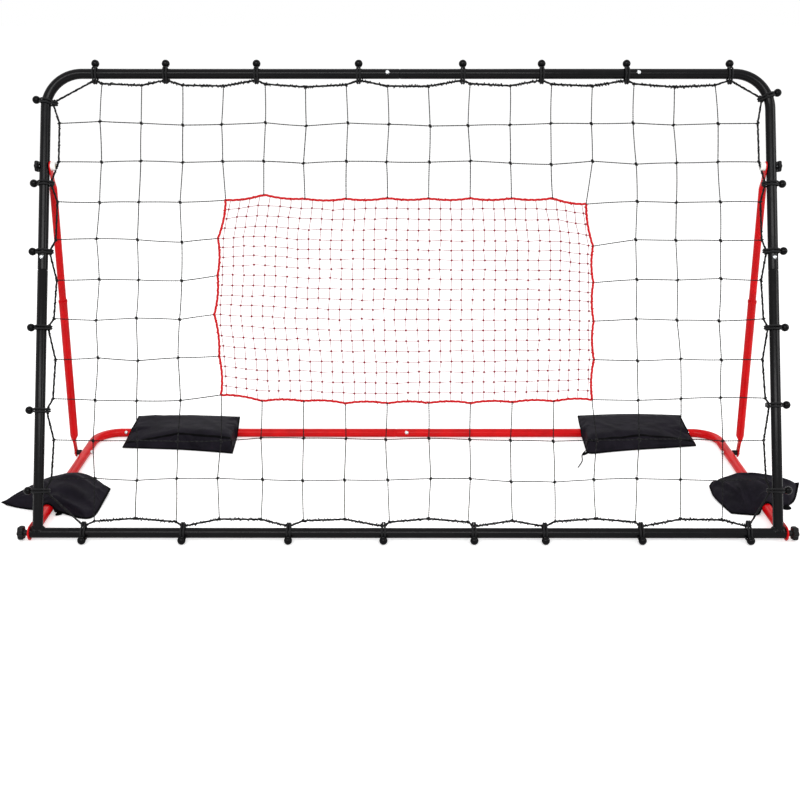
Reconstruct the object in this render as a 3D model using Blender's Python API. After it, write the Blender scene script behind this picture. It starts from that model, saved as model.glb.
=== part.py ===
# Soccer rebounder: a leaning tube frame with a bungee-hung net and a target panel, hinged on a
# U-shaped base, held up by two side struts and weighed down by four saddle bags.
# Metres, +Z up. Origin on the ground, in the middle of the product. -Y is the kicking side.
# The pieces are placed from the fold axis, and the whole is then moved to its origin.

import math

import bmesh
import bpy
import numpy as np
from mathutils import Matrix, Vector

# Tube stock
TUBE_R = 0.0125
TUBE_WALL = 0.0012
TUBE_SIDES = 12
FIT_GAP = 0.0003
STEP = 0.00001
PLUG_LENGTH = 0.060
SHOULDER = 0.003

# Front frame, in its own plane: x across, s up along the lean
PIVOT_HEIGHT = 0.0185
FRAME_LEAN = math.radians(24)
UPRIGHT_X = 0.9025
FRAME_HEIGHT = 1.140
BOTTOM_OVERHANG = 0.0173
BOTTOM_TUBE_HALF = UPRIGHT_X + BOTTOM_OVERHANG
FRAME_BEND_R = 0.088
BEND_STEPS = 6
UPRIGHT_BUTTON_S = 0.677
TOP_BUTTONS_X = (-0.051, 0.574)
BUTTON_TO_SEAM = 0.030
END_INSERT = 0.012
WELD_FILLET = 0.0045

# Base
ARM_INSET = 0.0024
ARM_X = BOTTOM_TUBE_HALF - ARM_INSET
BASE_DEPTH = 0.656
BASE_BEND_R = 0.070
BASE_BUTTON_TO_BEND = 0.0124
BASE_BUTTON_X = ARM_X - BASE_BEND_R - BASE_BUTTON_TO_BEND
TAB_THICKNESS = 0.003
PIVOT_TAB_R = 0.0183
TAB_STRAIGHT = 0.016
TAB_TAPER = 0.040
BASE_BUTTON_RAISE = math.radians(25)
TAB_DRILL = 0.006

# Struts
STRUT_PIVOT_Y = 0.505
STRUT_BOLT_S = 0.906
STRUT_LOWER_R = 0.0110
STRUT_LOWER_WALL = 0.0013
STRUT_UPPER_WALL = 0.0012
STRUT_LIP_Z = 0.478
STRUT_OVERLAP = 0.085
STRUT_TAB_R = 0.0125
STRUT_TAB_LENGTH = 0.034
STRUT_TAPER = 0.026
STRUT_BORE_START = 0.066
SPACER_LENGTH = 0.0134
LIP_FLARE = 0.0008
LIP_LENGTH = 0.005

# Fasteners
BOLT_R = 0.0040
BOLT_HOLE_R = 0.0043
BOLT_SIDES = 12
HEAD_R = 0.0065
HEAD_LENGTH = 0.005
SPACER_R = 0.0075
KNOB_R = 0.0180
KNOB_THICKNESS = 0.0145
KNOB_HUB_R = 0.0072
KNOB_HUB_LENGTH = 0.0115
STUD_REACH = 0.0105
STRUT_KNOB_R = 0.0150
STRUT_KNOB_THICKNESS = 0.0090
STRUT_KNOB_HUB = 0.0015
KNOB_LOBES = 6
KNOB_LOBE_DEPTH = 0.10

# Snap buttons
BUTTON_R = 0.0048
BUTTON_HOLE_R = 0.0056
BUTTON_SIDES = 8
BUTTON_PROUD = 0.0035
LEAF_WIDTH = 0.0080
LEAF_THICKNESS = 0.0006
LEAF_LENGTH = 0.028

# Bungees. Their places are shares of each side of the net, from its left or lower end
BALL_R = 0.0100
BALL_SIDES = 8
BALL_REACH = 0.0260
CORD_R = 0.0014
LOOP_WRAP = 0.0162
LOOP_OUTER = 0.0180
LOOP_SHOULDER = (0.0045, 0.0015)
LOOP_SLACK = 0.0006
LOOP_TURN = math.radians(49)
LOOP_SIDES = 4
TOP_HOOKS = (0.0505, 0.1518, 0.2824, 0.4292, 0.5789, 0.6922, 0.8143, 0.9622)
BOTTOM_HOOKS = (0.0453, 0.1846, 0.3331, 0.4660, 0.5927, 0.6922, 0.8269, 0.9777)
LEFT_HOOKS = (0.0673, 0.2489, 0.4370, 0.6113, 0.7689, 0.9589)
RIGHT_HOOKS = (0.0691, 0.2618, 0.4379, 0.6131, 0.7680, 0.9718)

# Nets
NET_COLUMNS = 17
NET_ROWS = 11
NET_SIDE_GAP = 0.0338
NET_BOTTOM_GAP = 0.0290
NET_TOP_GAP = 0.0264
NET_HALF_WIDTH = UPRIGHT_X - NET_SIDE_GAP
NET_HEIGHT = FRAME_HEIGHT - NET_BOTTOM_GAP - NET_TOP_GAP
NET_HANG = 0.0060
BORDER_PULL = 2.8
TWINE_WIDTH = 0.0026
BORDER_WIDTH = 0.0044
NET_THICKNESS = 0.0026
TARGET_LEFT, TARGET_RIGHT = 4, 13
TARGET_LOW, TARGET_HIGH = 3, 8
TARGET_CELLS_X = 12
TARGET_CELLS_S = 8
TARGET_TWINE = 0.0016
TARGET_BORDER = 0.0050

# Weight bags
REAR_BAG = dict(width=0.316, depth=0.196, height=0.050)
REAR_BAG_TO_BUTTON = (0.0150, 0.0070)
REAR_BAG_AHEAD = 0.0172
FRONT_BAG = dict(width=0.262, depth=0.178, height=0.062)
FRONT_BAG_INWARDS = (0.0347, 0.0169)
FRONT_BAG_Y = (0.1825, 0.1850)
FRONT_BAG_TURN = (math.radians(-24), math.radians(3))
BAG_POINTS = 20
BAG_SQUARE = 0.86
BAG_ROUND = 0.16
GROOVE_STEPS = 8
GROOVE_BELOW = 0.060
FRONT_BAG_LEVELS = ((0.0, 0.97), (0.16, 1.0), (0.34, 0.95), (0.58, 0.82), (0.82, 0.60), (1.0, 0.30))
REAR_BAG_LEVELS = ((0.0, 0.97), (0.16, 1.0), (0.50, 0.985), (0.80, 0.93), (1.0, 0.80))

# Loose end of the rear right bag's tie cord, on the ground, 0.123 m long
TIE_CORD_R = 0.0015
TIE_CORD_ROUTE = ((0.0, 0.0), (-0.014, -0.030), (-0.020, -0.072), (-0.038, -0.116))

PLUG_R = TUBE_R - TUBE_WALL - FIT_GAP
HOOK_INSET = TUBE_R + NET_HANG
STRUT_UPPER_R = STRUT_LOWER_R - STRUT_LOWER_WALL - FIT_GAP


def clear_scene():
    for old in list(bpy.data.objects):
        bpy.data.objects.remove(old, do_unlink=True)


def material(name, colour, roughness, metallic=0.0):
    made = bpy.data.materials.new(name)
    made.use_nodes = True
    shader = made.node_tree.nodes["Principled BSDF"]
    shader.inputs["Base Color"].default_value = (*colour, 1.0)
    shader.inputs["Roughness"].default_value = roughness
    shader.inputs["Metallic"].default_value = metallic
    made.diffuse_color = (*colour, 1.0)
    return made


def mesh_of(name, vertices, faces):
    """A closed mesh with its faces turned outwards."""
    mesh = bpy.data.meshes.new(name)
    mesh.from_pydata([tuple(v) for v in vertices], [], faces)
    shell = bmesh.new()
    shell.from_mesh(mesh)
    bmesh.ops.remove_doubles(shell, verts=shell.verts, dist=1e-7)
    bmesh.ops.recalc_face_normals(shell, faces=shell.faces)
    shell.to_mesh(mesh)
    shell.free()
    return mesh


def joined(name, meshes):
    """Several closed meshes in one, for a cutter with more than one body."""
    vertices = []
    faces = []
    for mesh in meshes:
        first = len(vertices)
        vertices += [v.co.copy() for v in mesh.vertices]
        faces += [[first + i for i in p.vertices] for p in mesh.polygons]
    return mesh_of(name, vertices, faces)


def add(name, mesh, finish, parent=None, place=None, sharp=40):
    """One named piece in the scene."""
    piece = bpy.data.objects.new(name, mesh)
    bpy.context.scene.collection.objects.link(piece)
    if not mesh.materials:
        mesh.materials.append(finish)
    mesh.shade_smooth()
    mesh.set_sharp_from_angle(angle=math.radians(sharp))
    piece.parent = parent
    if place is not None:
        piece.matrix_local = place
    return piece


def helper(name, mesh, parent=None, place=None):
    """A cutter or an added shape: it isn't a piece of the product."""
    shape = bpy.data.objects.new(name, mesh)
    bpy.context.scene.collection.objects.link(shape)
    shape.hide_render = True
    shape.display_type = "WIRE"
    shape.parent = parent
    if place is not None:
        shape.matrix_local = place
    return shape


def pivot(name, location, turn_x=0.0):
    """An empty on a joint's axis."""
    axis = bpy.data.objects.new(name, None)
    bpy.context.scene.collection.objects.link(axis)
    axis.location = location
    axis.rotation_euler = (turn_x, 0.0, 0.0)
    return axis


def boolean(piece, other, operation="DIFFERENCE"):
    step = piece.modifiers.new(operation.title(), "BOOLEAN")
    step.operation = operation
    step.solver = "EXACT"
    step.object = other


def evaluated_mesh(piece, name):
    """The mesh that a piece's modifiers make, for copies to share."""
    graph = bpy.context.evaluated_depsgraph_get()
    return bpy.data.meshes.new_from_object(piece.evaluated_get(graph), depsgraph=graph)


# Sections and sweeps


def stadium(half_long, half_short, sides=TUBE_SIDES):
    """A section's points: a circle where both halves are equal, and a flattened tube where not.
    The flats lie at the true size."""
    ring = []
    corner = half_short / math.cos(math.pi / sides)
    for k in range(sides):
        angle = math.tau * (k + 0.5) / sides
        shift = math.copysign(half_long - half_short, math.cos(angle))
        ring.append((shift + corner * math.cos(angle), corner * math.sin(angle)))
    return ring


def loft(name, rings, inner=None):
    """Rings joined end to end. With inner rings too, the body is a tube that is open at both
    ends; inner rings that stop short leave a blind bore, open at the first end."""
    vertices = [point for ring in rings for point in ring]
    sides = len(rings[0])

    def wall(first, count):
        found = []
        for r in range(count - 1):
            for k in range(sides):
                a = first + r * sides + k
                b = first + r * sides + (k + 1) % sides
                found.append([a, b, b + sides, a + sides])
        return found

    def ring_at(first, r):
        return [first + r * sides + k for k in range(sides)]

    faces = wall(0, len(rings))
    if inner is None:
        faces.append(ring_at(0, 0)[::-1])
        faces.append(ring_at(0, len(rings) - 1))
        return mesh_of(name, vertices, faces)
    bore = len(vertices)
    vertices += [point for ring in inner[0] for point in ring]
    faces += [face[::-1] for face in wall(bore, len(inner[0]))]
    starts = [(ring_at(0, 0), ring_at(bore, 0))]
    if inner[1] == "open":
        starts.append((ring_at(0, len(rings) - 1), ring_at(bore, len(inner[0]) - 1)))
    else:
        faces.append(ring_at(0, len(rings) - 1))
        faces.append(ring_at(bore, len(inner[0]) - 1)[::-1])
    for outside, inside in starts:
        for k in range(sides):
            n = (k + 1) % sides
            faces.append([outside[k], outside[n], inside[n], inside[k]])
    return mesh_of(name, vertices, faces)


def round_rings(path, radii, normal):
    """Circles square to a flat path, mitred so that the tube keeps its width in a bend."""
    rings = []
    for k, centre in enumerate(path):
        before = (path[k] - path[k - 1]).normalized() if k else None
        after = (path[k + 1] - path[k]).normalized() if k + 1 < len(path) else None
        ahead = ((before or after) + (after or before)).normalized()
        side = ahead.cross(normal).normalized()
        stretch = 1.0 / max(0.5, ahead.dot(before or after))
        rings.append(
            [
                centre + side * (u * radii[k] * stretch) + normal * (v * radii[k])
                for u, v in stadium(1.0, 1.0)
            ]
        )
    return rings


def tube(name, path, normal, radii=None, bores=None):
    """An open tube along a flat path."""
    outer = radii or [TUBE_R] * len(path)
    inner = bores or [r - TUBE_WALL for r in outer]
    return loft(name, round_rings(path, outer, normal), (round_rings(path, inner, normal), "open"))


def arc(centre, radius, start, end, u, v, steps=BEND_STEPS):
    """Points on a bend, from angle start to angle end in the plane of u and v."""
    angles = [start + (end - start) * k / steps for k in range(steps + 1)]
    return [centre + u * (radius * math.cos(a)) + v * (radius * math.sin(a)) for a in angles]


def rod(name, start, end, radius, sides=BOLT_SIDES):
    """A plain cylinder between two points, for bolts and for holes."""
    return turned(name, [(0.0, radius), ((end - start).length, radius)], start, end - start, sides)


def turned(name, profile, start, along, sides=BOLT_SIDES):
    """A turned solid: (distance, radius) steps along an axis."""
    ahead = along.normalized()
    across = ahead.orthogonal().normalized()
    up = ahead.cross(across)
    rings = []
    for distance, radius in profile:
        middle = start + ahead * distance
        rings.append([middle + (across * u + up * v) * radius for u, v in stadium(1, 1, sides)])
    return loft(name, rings)


# Front frame

X = Vector((1, 0, 0))
Y = Vector((0, 1, 0))
Z = Vector((0, 0, 1))


def stepped(start, end, male_start=False, male_end=False):
    """A straight tube's path and radii, with a swaged plug at a male end. The seam points
    are start and end, and a plug runs past its seam."""
    ahead = (end - start).normalized()
    path = []
    radii = []
    if male_start:
        path += [start - ahead * PLUG_LENGTH, start - ahead * FIT_GAP, start + ahead * SHOULDER]
        radii += [PLUG_R, PLUG_R, TUBE_R]
    else:
        path.append(start)
        radii.append(TUBE_R)
    if male_end:
        path += [end - ahead * SHOULDER, end + ahead * FIT_GAP, end + ahead * PLUG_LENGTH]
        radii += [TUBE_R, PLUG_R, PLUG_R]
    else:
        path.append(end)
        radii.append(TUBE_R)
    return path, radii


def button_hole(name, centre, outward):
    """The cutter for a snap button's hole, through one wall of both tubes."""
    start, end = centre + outward * (PLUG_R / 2), centre + outward * (TUBE_R * 1.4)
    return rod(name, start, end, BUTTON_HOLE_R, BUTTON_SIDES)


def lower_frame(frame, black):
    """Bottom tube with both lower uprights welded on, and a threaded insert in each end."""
    seam_s = UPRIGHT_BUTTON_S - BUTTON_TO_SEAM
    bottom = rod("bottom_tube_outside", -X * BOTTOM_TUBE_HALF, X * BOTTOM_TUBE_HALF, TUBE_R, TUBE_SIDES)
    piece = add("lower_frame", bottom, black, frame)
    cuts = []
    for side in (-1, 1):
        foot = X * (side * UPRIGHT_X)
        path, radii = stepped(foot + Z * 0.030, foot + Z * seam_s, male_end=True)
        flare = [(0.0, 1.0), (TUBE_R, 1.0), (TUBE_R + 0.3 * WELD_FILLET, 0.45), (TUBE_R + WELD_FILLET, 0.12)]
        path = [foot + Z * s for s, _ in flare] + path
        radii = [TUBE_R + WELD_FILLET * grow for _, grow in flare] + radii
        bore_path = [p for p in path if p.z > TUBE_R]
        bore_radii = [min(r, TUBE_R) - TUBE_WALL for p, r in zip(path, radii) if p.z > TUBE_R]
        rings = round_rings(path[::-1], radii[::-1], -Y)
        bore = round_rings(bore_path[::-1], bore_radii[::-1], -Y)
        upright = loft(f"lower_upright_{side}", rings, (bore, "blind"))
        boolean(piece, helper(f"weld_{side}", upright, frame), "UNION")
        cuts.append(button_hole("snap_hole", foot + Z * UPRIGHT_BUTTON_S, -Y))
    boolean(piece, helper("bottom_bore", bottom_bore(), frame))
    boolean(piece, helper("lower_frame_holes", joined("lower_frame_holes", cuts), frame))
    return piece


def bottom_bore():
    """The cutter for the bottom tube's bore and for the threaded holes through its end inserts."""
    wide = BOTTOM_TUBE_HALF - END_INSERT
    reach = BOTTOM_TUBE_HALF + END_INSERT
    profile = [
        (0.0, BOLT_HOLE_R),
        (reach - wide, BOLT_HOLE_R),
        (reach - wide + STEP, TUBE_R - TUBE_WALL),
        (reach + wide - STEP, TUBE_R - TUBE_WALL),
        (reach + wide, BOLT_HOLE_R),
        (2 * reach, BOLT_HOLE_R),
    ]
    return turned("bottom_bore", profile, -X * reach, X, TUBE_SIDES)


def corner_tube(side, frame, black):
    """An upper corner: the upright's upper part, the bend and its stretch of the top."""
    seam_s = UPRIGHT_BUTTON_S - BUTTON_TO_SEAM
    button_x = TOP_BUTTONS_X[0] if side < 0 else TOP_BUTTONS_X[1]
    seam_x = button_x - side * BUTTON_TO_SEAM
    centre = X * (side * (UPRIGHT_X - FRAME_BEND_R)) + Z * (FRAME_HEIGHT - FRAME_BEND_R)
    bend = arc(centre, FRAME_BEND_R, 0.0, math.pi / 2, X * side, Z)
    path = [X * (side * UPRIGHT_X) + Z * seam_s, *bend, X * seam_x + Z * FRAME_HEIGHT]
    name = "left" if side < 0 else "right"
    piece = add(f"corner_tube_{name}", tube(f"corner_tube_{name}", path, Y), black, frame)
    bolt = X * (side * UPRIGHT_X) + Z * STRUT_BOLT_S
    cuts = [
        button_hole("snap_hole", X * (side * UPRIGHT_X) + Z * UPRIGHT_BUTTON_S, -Y),
        button_hole("snap_hole", X * button_x + Z * FRAME_HEIGHT, -Y),
        rod("bolt_hole", bolt - X * (2 * TUBE_R), bolt + X * (2 * TUBE_R), BOLT_HOLE_R),
    ]
    boolean(piece, helper(f"corner_holes_{name}", joined(f"corner_holes_{name}", cuts), frame))
    return piece


def top_tube(frame, black):
    """The straight stretch of the top, plugged into both corners."""
    left, right = (x + sign * BUTTON_TO_SEAM for x, sign in zip(TOP_BUTTONS_X, (1, -1)))
    high = Z * FRAME_HEIGHT
    path, radii = stepped(X * left + high, X * right + high, True, True)
    piece = add("top_tube", tube("top_tube", path, Y, radii), black, frame)
    cuts = [button_hole("snap_hole", X * x + high, -Y) for x in TOP_BUTTONS_X]
    boolean(piece, helper("top_tube_holes", joined("top_tube_holes", cuts), frame))
    return piece


# Base


def arm_height(y):
    """The arm's centre falls from the pivot's height to the rear bar's, which lies on the ground."""
    return PIVOT_HEIGHT + (TUBE_R - PIVOT_HEIGHT) * max(0.0, y) / BASE_DEPTH


def base_button_direction():
    return -Y * math.cos(BASE_BUTTON_RAISE) + Z * math.sin(BASE_BUTTON_RAISE)


def base_arm(side, red):
    """A side tube of the base: a flattened tab on the pivot, a straight run and the rear bend."""
    tab_x = BOTTOM_TUBE_HALF + FIT_GAP + TAB_THICKNESS / 2
    sections = []
    for angle in (80, 62, 42, 20):
        y = -PIVOT_TAB_R * math.sin(math.radians(angle))
        sections.append((tab_x, y, PIVOT_TAB_R * math.cos(math.radians(angle)), TAB_THICKNESS / 2))
    sections += [(tab_x, 0.0, PIVOT_TAB_R, TAB_THICKNESS / 2)]
    sections += [(tab_x, TAB_STRAIGHT, PIVOT_TAB_R, TAB_THICKNESS / 2)]
    for share in (0.33, 0.67, 1.0):
        ease = share * share * (3 - 2 * share)
        sections.append(
            (
                tab_x + (ARM_X - tab_x) * ease,
                TAB_STRAIGHT + TAB_TAPER * share,
                PIVOT_TAB_R + (TUBE_R - PIVOT_TAB_R) * ease,
                TAB_THICKNESS / 2 + (TUBE_R - TAB_THICKNESS / 2) * ease,
            )
        )
    rings = []
    for x, y, half_high, half_wide in sections:
        middle = Vector((side * x, y, arm_height(y)))
        section = stadium(max(half_high, half_wide), half_wide)
        rings.append([middle + Z * u + X * (side * v) for u, v in section])
    centre = X * (side * (ARM_X - BASE_BEND_R)) + Y * (BASE_DEPTH - BASE_BEND_R)
    bend = arc(centre, BASE_BEND_R, 0.0, math.pi / 2, X * side, Y)
    for point in bend:
        point.z = arm_height(point.y)
    seam = Vector((side * (BASE_BUTTON_X - BUTTON_TO_SEAM), BASE_DEPTH, TUBE_R))
    bore_start = Vector((side * ARM_X, sections[-1][1] + TUBE_R, arm_height(sections[-1][1] + TUBE_R)))
    path = [bore_start, *bend, seam]
    outer = round_rings(path, [TUBE_R] * len(path), Z)
    bore = round_rings(path, [TUBE_R - TUBE_WALL] * len(path), Z)
    turned_rings = [match_ring(ring, outer[0]) for ring in rings]
    all_rings = turned_rings + outer[1:]
    name = "left" if side < 0 else "right"
    mesh = loft(f"base_arm_{name}", all_rings[::-1], (bore[::-1], "blind"))
    piece = add(f"base_arm_{name}", mesh, red)
    bolt = Vector((side * ARM_X, STRUT_PIVOT_Y, arm_height(STRUT_PIVOT_Y)))
    tab = Vector((side * tab_x, 0, PIVOT_HEIGHT))
    cuts = [
        rod("pivot_hole", tab - X * TAB_DRILL, tab + X * TAB_DRILL, BOLT_HOLE_R),
        rod("bolt_hole", bolt - X * (2 * TUBE_R), bolt + X * (2 * TUBE_R), BOLT_HOLE_R),
        button_hole("snap_hole", Vector((side * BASE_BUTTON_X, BASE_DEPTH, TUBE_R)), base_button_direction()),
    ]
    boolean(piece, helper(f"arm_holes_{name}", joined(f"arm_holes_{name}", cuts)))
    return piece


def match_ring(ring, pattern):
    """The ring's points in the order that lies nearest to another ring's, so that no wall twists."""
    middle = sum(ring, Vector()) / len(ring)
    other = sum(pattern, Vector()) / len(pattern)
    best = None
    for order in (ring, ring[::-1]):
        for shift in range(len(ring)):
            turned_ring = order[shift:] + order[:shift]
            cost = sum(
                ((a - middle).normalized() - (b - other).normalized()).length_squared
                for a, b in zip(turned_ring, pattern)
            )
            if best is None or cost < best[0] - 1e-9:
                best = (cost, turned_ring)
    return best[1]


def rear_bar(side, red):
    """Half of the rear bar. Both halves plug into their arm, and the left one into the right."""
    middle = Vector((0.0, BASE_DEPTH, TUBE_R))
    outer_seam = Vector((side * (BASE_BUTTON_X - BUTTON_TO_SEAM), BASE_DEPTH, TUBE_R))
    name = "left" if side < 0 else "right"
    centre_seam = middle + X * BUTTON_TO_SEAM
    if side < 0:
        path, radii = stepped(outer_seam, centre_seam - X * (2 * BUTTON_TO_SEAM), True, True)
        centre_cut = middle
    else:
        path, radii = stepped(centre_seam - X * (2 * BUTTON_TO_SEAM), outer_seam, False, True)
        centre_cut = middle
    path[0 if side < 0 else -1].x = side * (BASE_BUTTON_X + 0.010)
    piece = add(f"rear_bar_{name}", tube(f"rear_bar_{name}", path, Z, radii), red)
    cuts = [
        button_hole("snap_hole", Vector((side * BASE_BUTTON_X, BASE_DEPTH, TUBE_R)), base_button_direction()),
        button_hole("snap_hole", centre_cut, base_button_direction()),
    ]
    boolean(piece, helper(f"rear_bar_holes_{name}", joined(f"rear_bar_holes_{name}", cuts)))
    return piece


# Struts


def strut_numbers():
    """Length and tilt of a strut, between its two bolts."""
    foot = Vector((0, STRUT_PIVOT_Y, arm_height(STRUT_PIVOT_Y)))
    lean = Vector((0, math.sin(FRAME_LEAN), math.cos(FRAME_LEAN)))
    head = Vector((0, 0, PIVOT_HEIGHT)) + lean * STRUT_BOLT_S
    run = head - foot
    return run.length, math.atan2(-run.y, run.z)


def strut_x(z, length):
    """Distance of the strut's middle from the product's middle: its tabs are upright, and the
    tube between them leans inwards."""
    foot_x = ARM_X + TUBE_R + FIT_GAP + SPACER_LENGTH + FIT_GAP + TAB_THICKNESS / 2
    head_x = UPRIGHT_X - TUBE_R - FIT_GAP * 1.5 - TAB_THICKNESS / 2
    share = (z - STRUT_TAB_LENGTH) / (length - 2 * STRUT_TAB_LENGTH)
    return foot_x + (head_x - foot_x) * min(1.0, max(0.0, share))


def tab_sections(radius, tube_r):
    """(distance past the pivot, half width, half thickness) from a rounded tab into its tube."""
    found = []
    for angle in (80, 55, 28):
        a = math.radians(angle)
        found.append((-radius * math.sin(a), radius * math.cos(a), TAB_THICKNESS / 2))
    found.append((0.0, radius, TAB_THICKNESS / 2))
    found.append((STRUT_TAB_LENGTH, radius, TAB_THICKNESS / 2))
    for share in (0.33, 0.67, 1.0):
        ease = share * share * (3 - 2 * share)
        found.append(
            (
                STRUT_TAB_LENGTH + STRUT_TAPER * share,
                radius + (tube_r - radius) * ease,
                TAB_THICKNESS / 2 + (tube_r - TAB_THICKNESS / 2) * ease,
            )
        )
    return found


def strut_rings(sections, side, length, from_top):
    rings = []
    for distance, half_wide, half_thick in sections:
        z = length - distance if from_top else distance
        middle = Vector((side * strut_x(z, length), 0, z))
        section = stadium(max(half_wide, half_thick), half_thick)
        rings.append([middle + Y * u + X * (side * v) for u, v in section])
    return rings


def strut(side, base_pivot, red):
    """Both tubes of a strut: the thinner upper one is pushed into the lower one."""
    name = "left" if side < 0 else "right"
    length, _ = strut_numbers()
    sections = tab_sections(STRUT_TAB_R, STRUT_LOWER_R)
    sections += [
        (STRUT_LIP_Z - 2 * LIP_LENGTH, STRUT_LOWER_R, STRUT_LOWER_R),
        (STRUT_LIP_Z - LIP_LENGTH, STRUT_LOWER_R + LIP_FLARE, STRUT_LOWER_R + LIP_FLARE),
        (STRUT_LIP_Z, STRUT_LOWER_R + LIP_FLARE, STRUT_LOWER_R + LIP_FLARE),
    ]
    bore_r = STRUT_LOWER_R - STRUT_LOWER_WALL
    bore = [(STRUT_BORE_START, bore_r, bore_r), (STRUT_LIP_Z, bore_r, bore_r)]
    rings = strut_rings(sections, side, length, False)
    inner = strut_rings(bore, side, length, False)
    lower = add(
        f"strut_lower_{name}",
        loft(f"strut_lower_{name}", rings[::-1], (inner[::-1], "blind")),
        red,
        base_pivot,
    )
    foot = X * (side * strut_x(0, length))
    hole = rod("foot_hole", foot - X * TAB_DRILL, foot + X * TAB_DRILL, BOLT_HOLE_R)
    boolean(lower, helper(f"strut_foot_hole_{name}", hole, base_pivot))

    sections = tab_sections(STRUT_TAB_R, STRUT_UPPER_R)
    start = length - (STRUT_LIP_Z - STRUT_OVERLAP)
    sections.append((start, STRUT_UPPER_R, STRUT_UPPER_R))
    bore_r = STRUT_UPPER_R - STRUT_UPPER_WALL
    bore = [(STRUT_BORE_START, bore_r, bore_r), (start, bore_r, bore_r)]
    rings = strut_rings(sections, side, length, True)
    inner = strut_rings(bore, side, length, True)
    upper = add(
        f"strut_upper_{name}",
        loft(f"strut_upper_{name}", rings[::-1], (inner[::-1], "blind")),
        red,
        base_pivot,
    )
    head = X * (side * strut_x(length, length)) + Z * length
    hole = rod("head_hole", head - X * TAB_DRILL, head + X * TAB_DRILL, BOLT_HOLE_R)
    boolean(upper, helper(f"strut_head_hole_{name}", hole, base_pivot))
    return lower, upper


# Fasteners


def lobed_knob(name, start, outward, radius, thickness, hub_length, reach):
    """A star knob on its stud: the stud runs inwards from start, the hub and head outwards."""
    across = outward.orthogonal().normalized()
    up = outward.cross(across)
    steps = KNOB_LOBES * 4

    def lobed(distance, scale):
        middle = start + outward * distance
        ring = []
        for k in range(steps):
            angle = math.tau * k / steps
            r = radius * scale * (1 - KNOB_LOBE_DEPTH * (1 - math.cos(KNOB_LOBES * angle)))
            ring.append(middle + (across * math.cos(angle) + up * math.sin(angle)) * r)
        return ring

    chamfer = thickness * 0.2
    head = [
        lobed(hub_length, 0.88),
        lobed(hub_length + chamfer, 1.0),
        lobed(hub_length + thickness - chamfer, 1.0),
        lobed(hub_length + thickness, 0.84),
    ]
    knob = loft(name, head)
    stem = turned(
        f"{name}_stem",
        [
            (0.0, BOLT_R),
            (reach, BOLT_R),
            (reach + STEP, KNOB_HUB_R),
            (reach + hub_length + chamfer, KNOB_HUB_R),
        ],
        start - outward * reach,
        outward,
    )
    return knob, stem


def add_knob(name, start, outward, sizes, reach, black, parent):
    """A knob whose head and stem are one piece, turning on its own axis."""
    radius, thickness, hub = sizes
    axis = pivot(f"{name}_axis", start)
    axis.parent = parent
    knob, stem = lobed_knob(name, Vector(), outward, radius, thickness, hub, reach)
    piece = add(name, knob, black, axis)
    boolean(piece, helper(f"{name}_stem", stem, axis), "UNION")
    return piece


def strut_bolt(side, steel):
    """The shoulder bolt under a strut: head inside the arm, shoulder as spacer, nut outside."""
    arm_face = TUBE_R + FIT_GAP
    tab = arm_face + SPACER_LENGTH + FIT_GAP
    profile = [
        (0.0, HEAD_R),
        (HEAD_LENGTH, HEAD_R),
        (HEAD_LENGTH + STEP, BOLT_R),
        (HEAD_LENGTH + 2 * arm_face, BOLT_R),
        (HEAD_LENGTH + 2 * arm_face + STEP, SPACER_R),
        (HEAD_LENGTH + 2 * arm_face + SPACER_LENGTH - FIT_GAP, SPACER_R),
        (HEAD_LENGTH + 2 * arm_face + SPACER_LENGTH - FIT_GAP + STEP, BOLT_R),
        (HEAD_LENGTH + arm_face + tab + TAB_THICKNESS + FIT_GAP, BOLT_R),
        (HEAD_LENGTH + arm_face + tab + TAB_THICKNESS + FIT_GAP + STEP, HEAD_R),
        (HEAD_LENGTH + arm_face + tab + TAB_THICKNESS + HEAD_LENGTH, HEAD_R),
    ]
    name = "left" if side < 0 else "right"
    middle = Vector((side * ARM_X, STRUT_PIVOT_Y, arm_height(STRUT_PIVOT_Y)))
    axis = pivot(f"strut_bolt_{name}_axis", middle)
    start = X * (-side * (arm_face + HEAD_LENGTH))
    return add(f"strut_bolt_{name}", turned(f"strut_bolt_{name}", profile, start, X * side), steel, axis)


def snap_button_mesh(steel):
    """A snap button: a domed stud on a V of spring leaf. +Z is outwards, +X along the leaf."""
    top = TUBE_R + BUTTON_PROUD
    near = PLUG_R - TUBE_WALL - 0.0017
    line = [
        (-0.006, near),
        (LEAF_LENGTH - 0.005, near),
        (LEAF_LENGTH, near - 0.0025),
        (LEAF_LENGTH - 0.005, near - 0.0050),
        (-0.004, near - 0.0117),
    ]
    vertices = []
    for k, (x, z) in enumerate(line):
        before = line[max(0, k - 1)]
        after = line[min(len(line) - 1, k + 1)]
        ahead = Vector((after[0] - before[0], 0, after[1] - before[1])).normalized()
        out = Vector((-ahead.z, 0, ahead.x)) * (LEAF_THICKNESS / 2)
        middle = Vector((x, 0, z))
        for sign_y, sign_n in ((-1, -1), (1, -1), (1, 1), (-1, 1)):
            vertices.append(middle + Y * (sign_y * LEAF_WIDTH / 2) + out * sign_n)
    rings = [vertices[4 * k: 4 * k + 4] for k in range(len(line))]
    leaf = loft("snap_leaf", rings)
    profile = [
        (0.0, BUTTON_R),
        (top - near - 0.0013, BUTTON_R),
        (top - near, BUTTON_R * 0.6),
    ]
    stud = turned("snap_stud", profile, Z * near, Z, BUTTON_SIDES)
    source = helper("snap_button_source", leaf)
    boolean(source, helper("snap_stud_source", stud), "UNION")
    mesh = evaluated_mesh(source, "snap_button")
    mesh.materials.clear()
    mesh.materials.append(steel)
    return mesh


def frame_place(origin, outward, along):
    """A placing matrix with +Z outwards and +X along the tube."""
    side = outward.cross(along)
    matrix = Matrix((along, side, outward)).transposed().to_4x4()
    matrix.translation = origin
    return matrix


# Bungees


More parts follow.
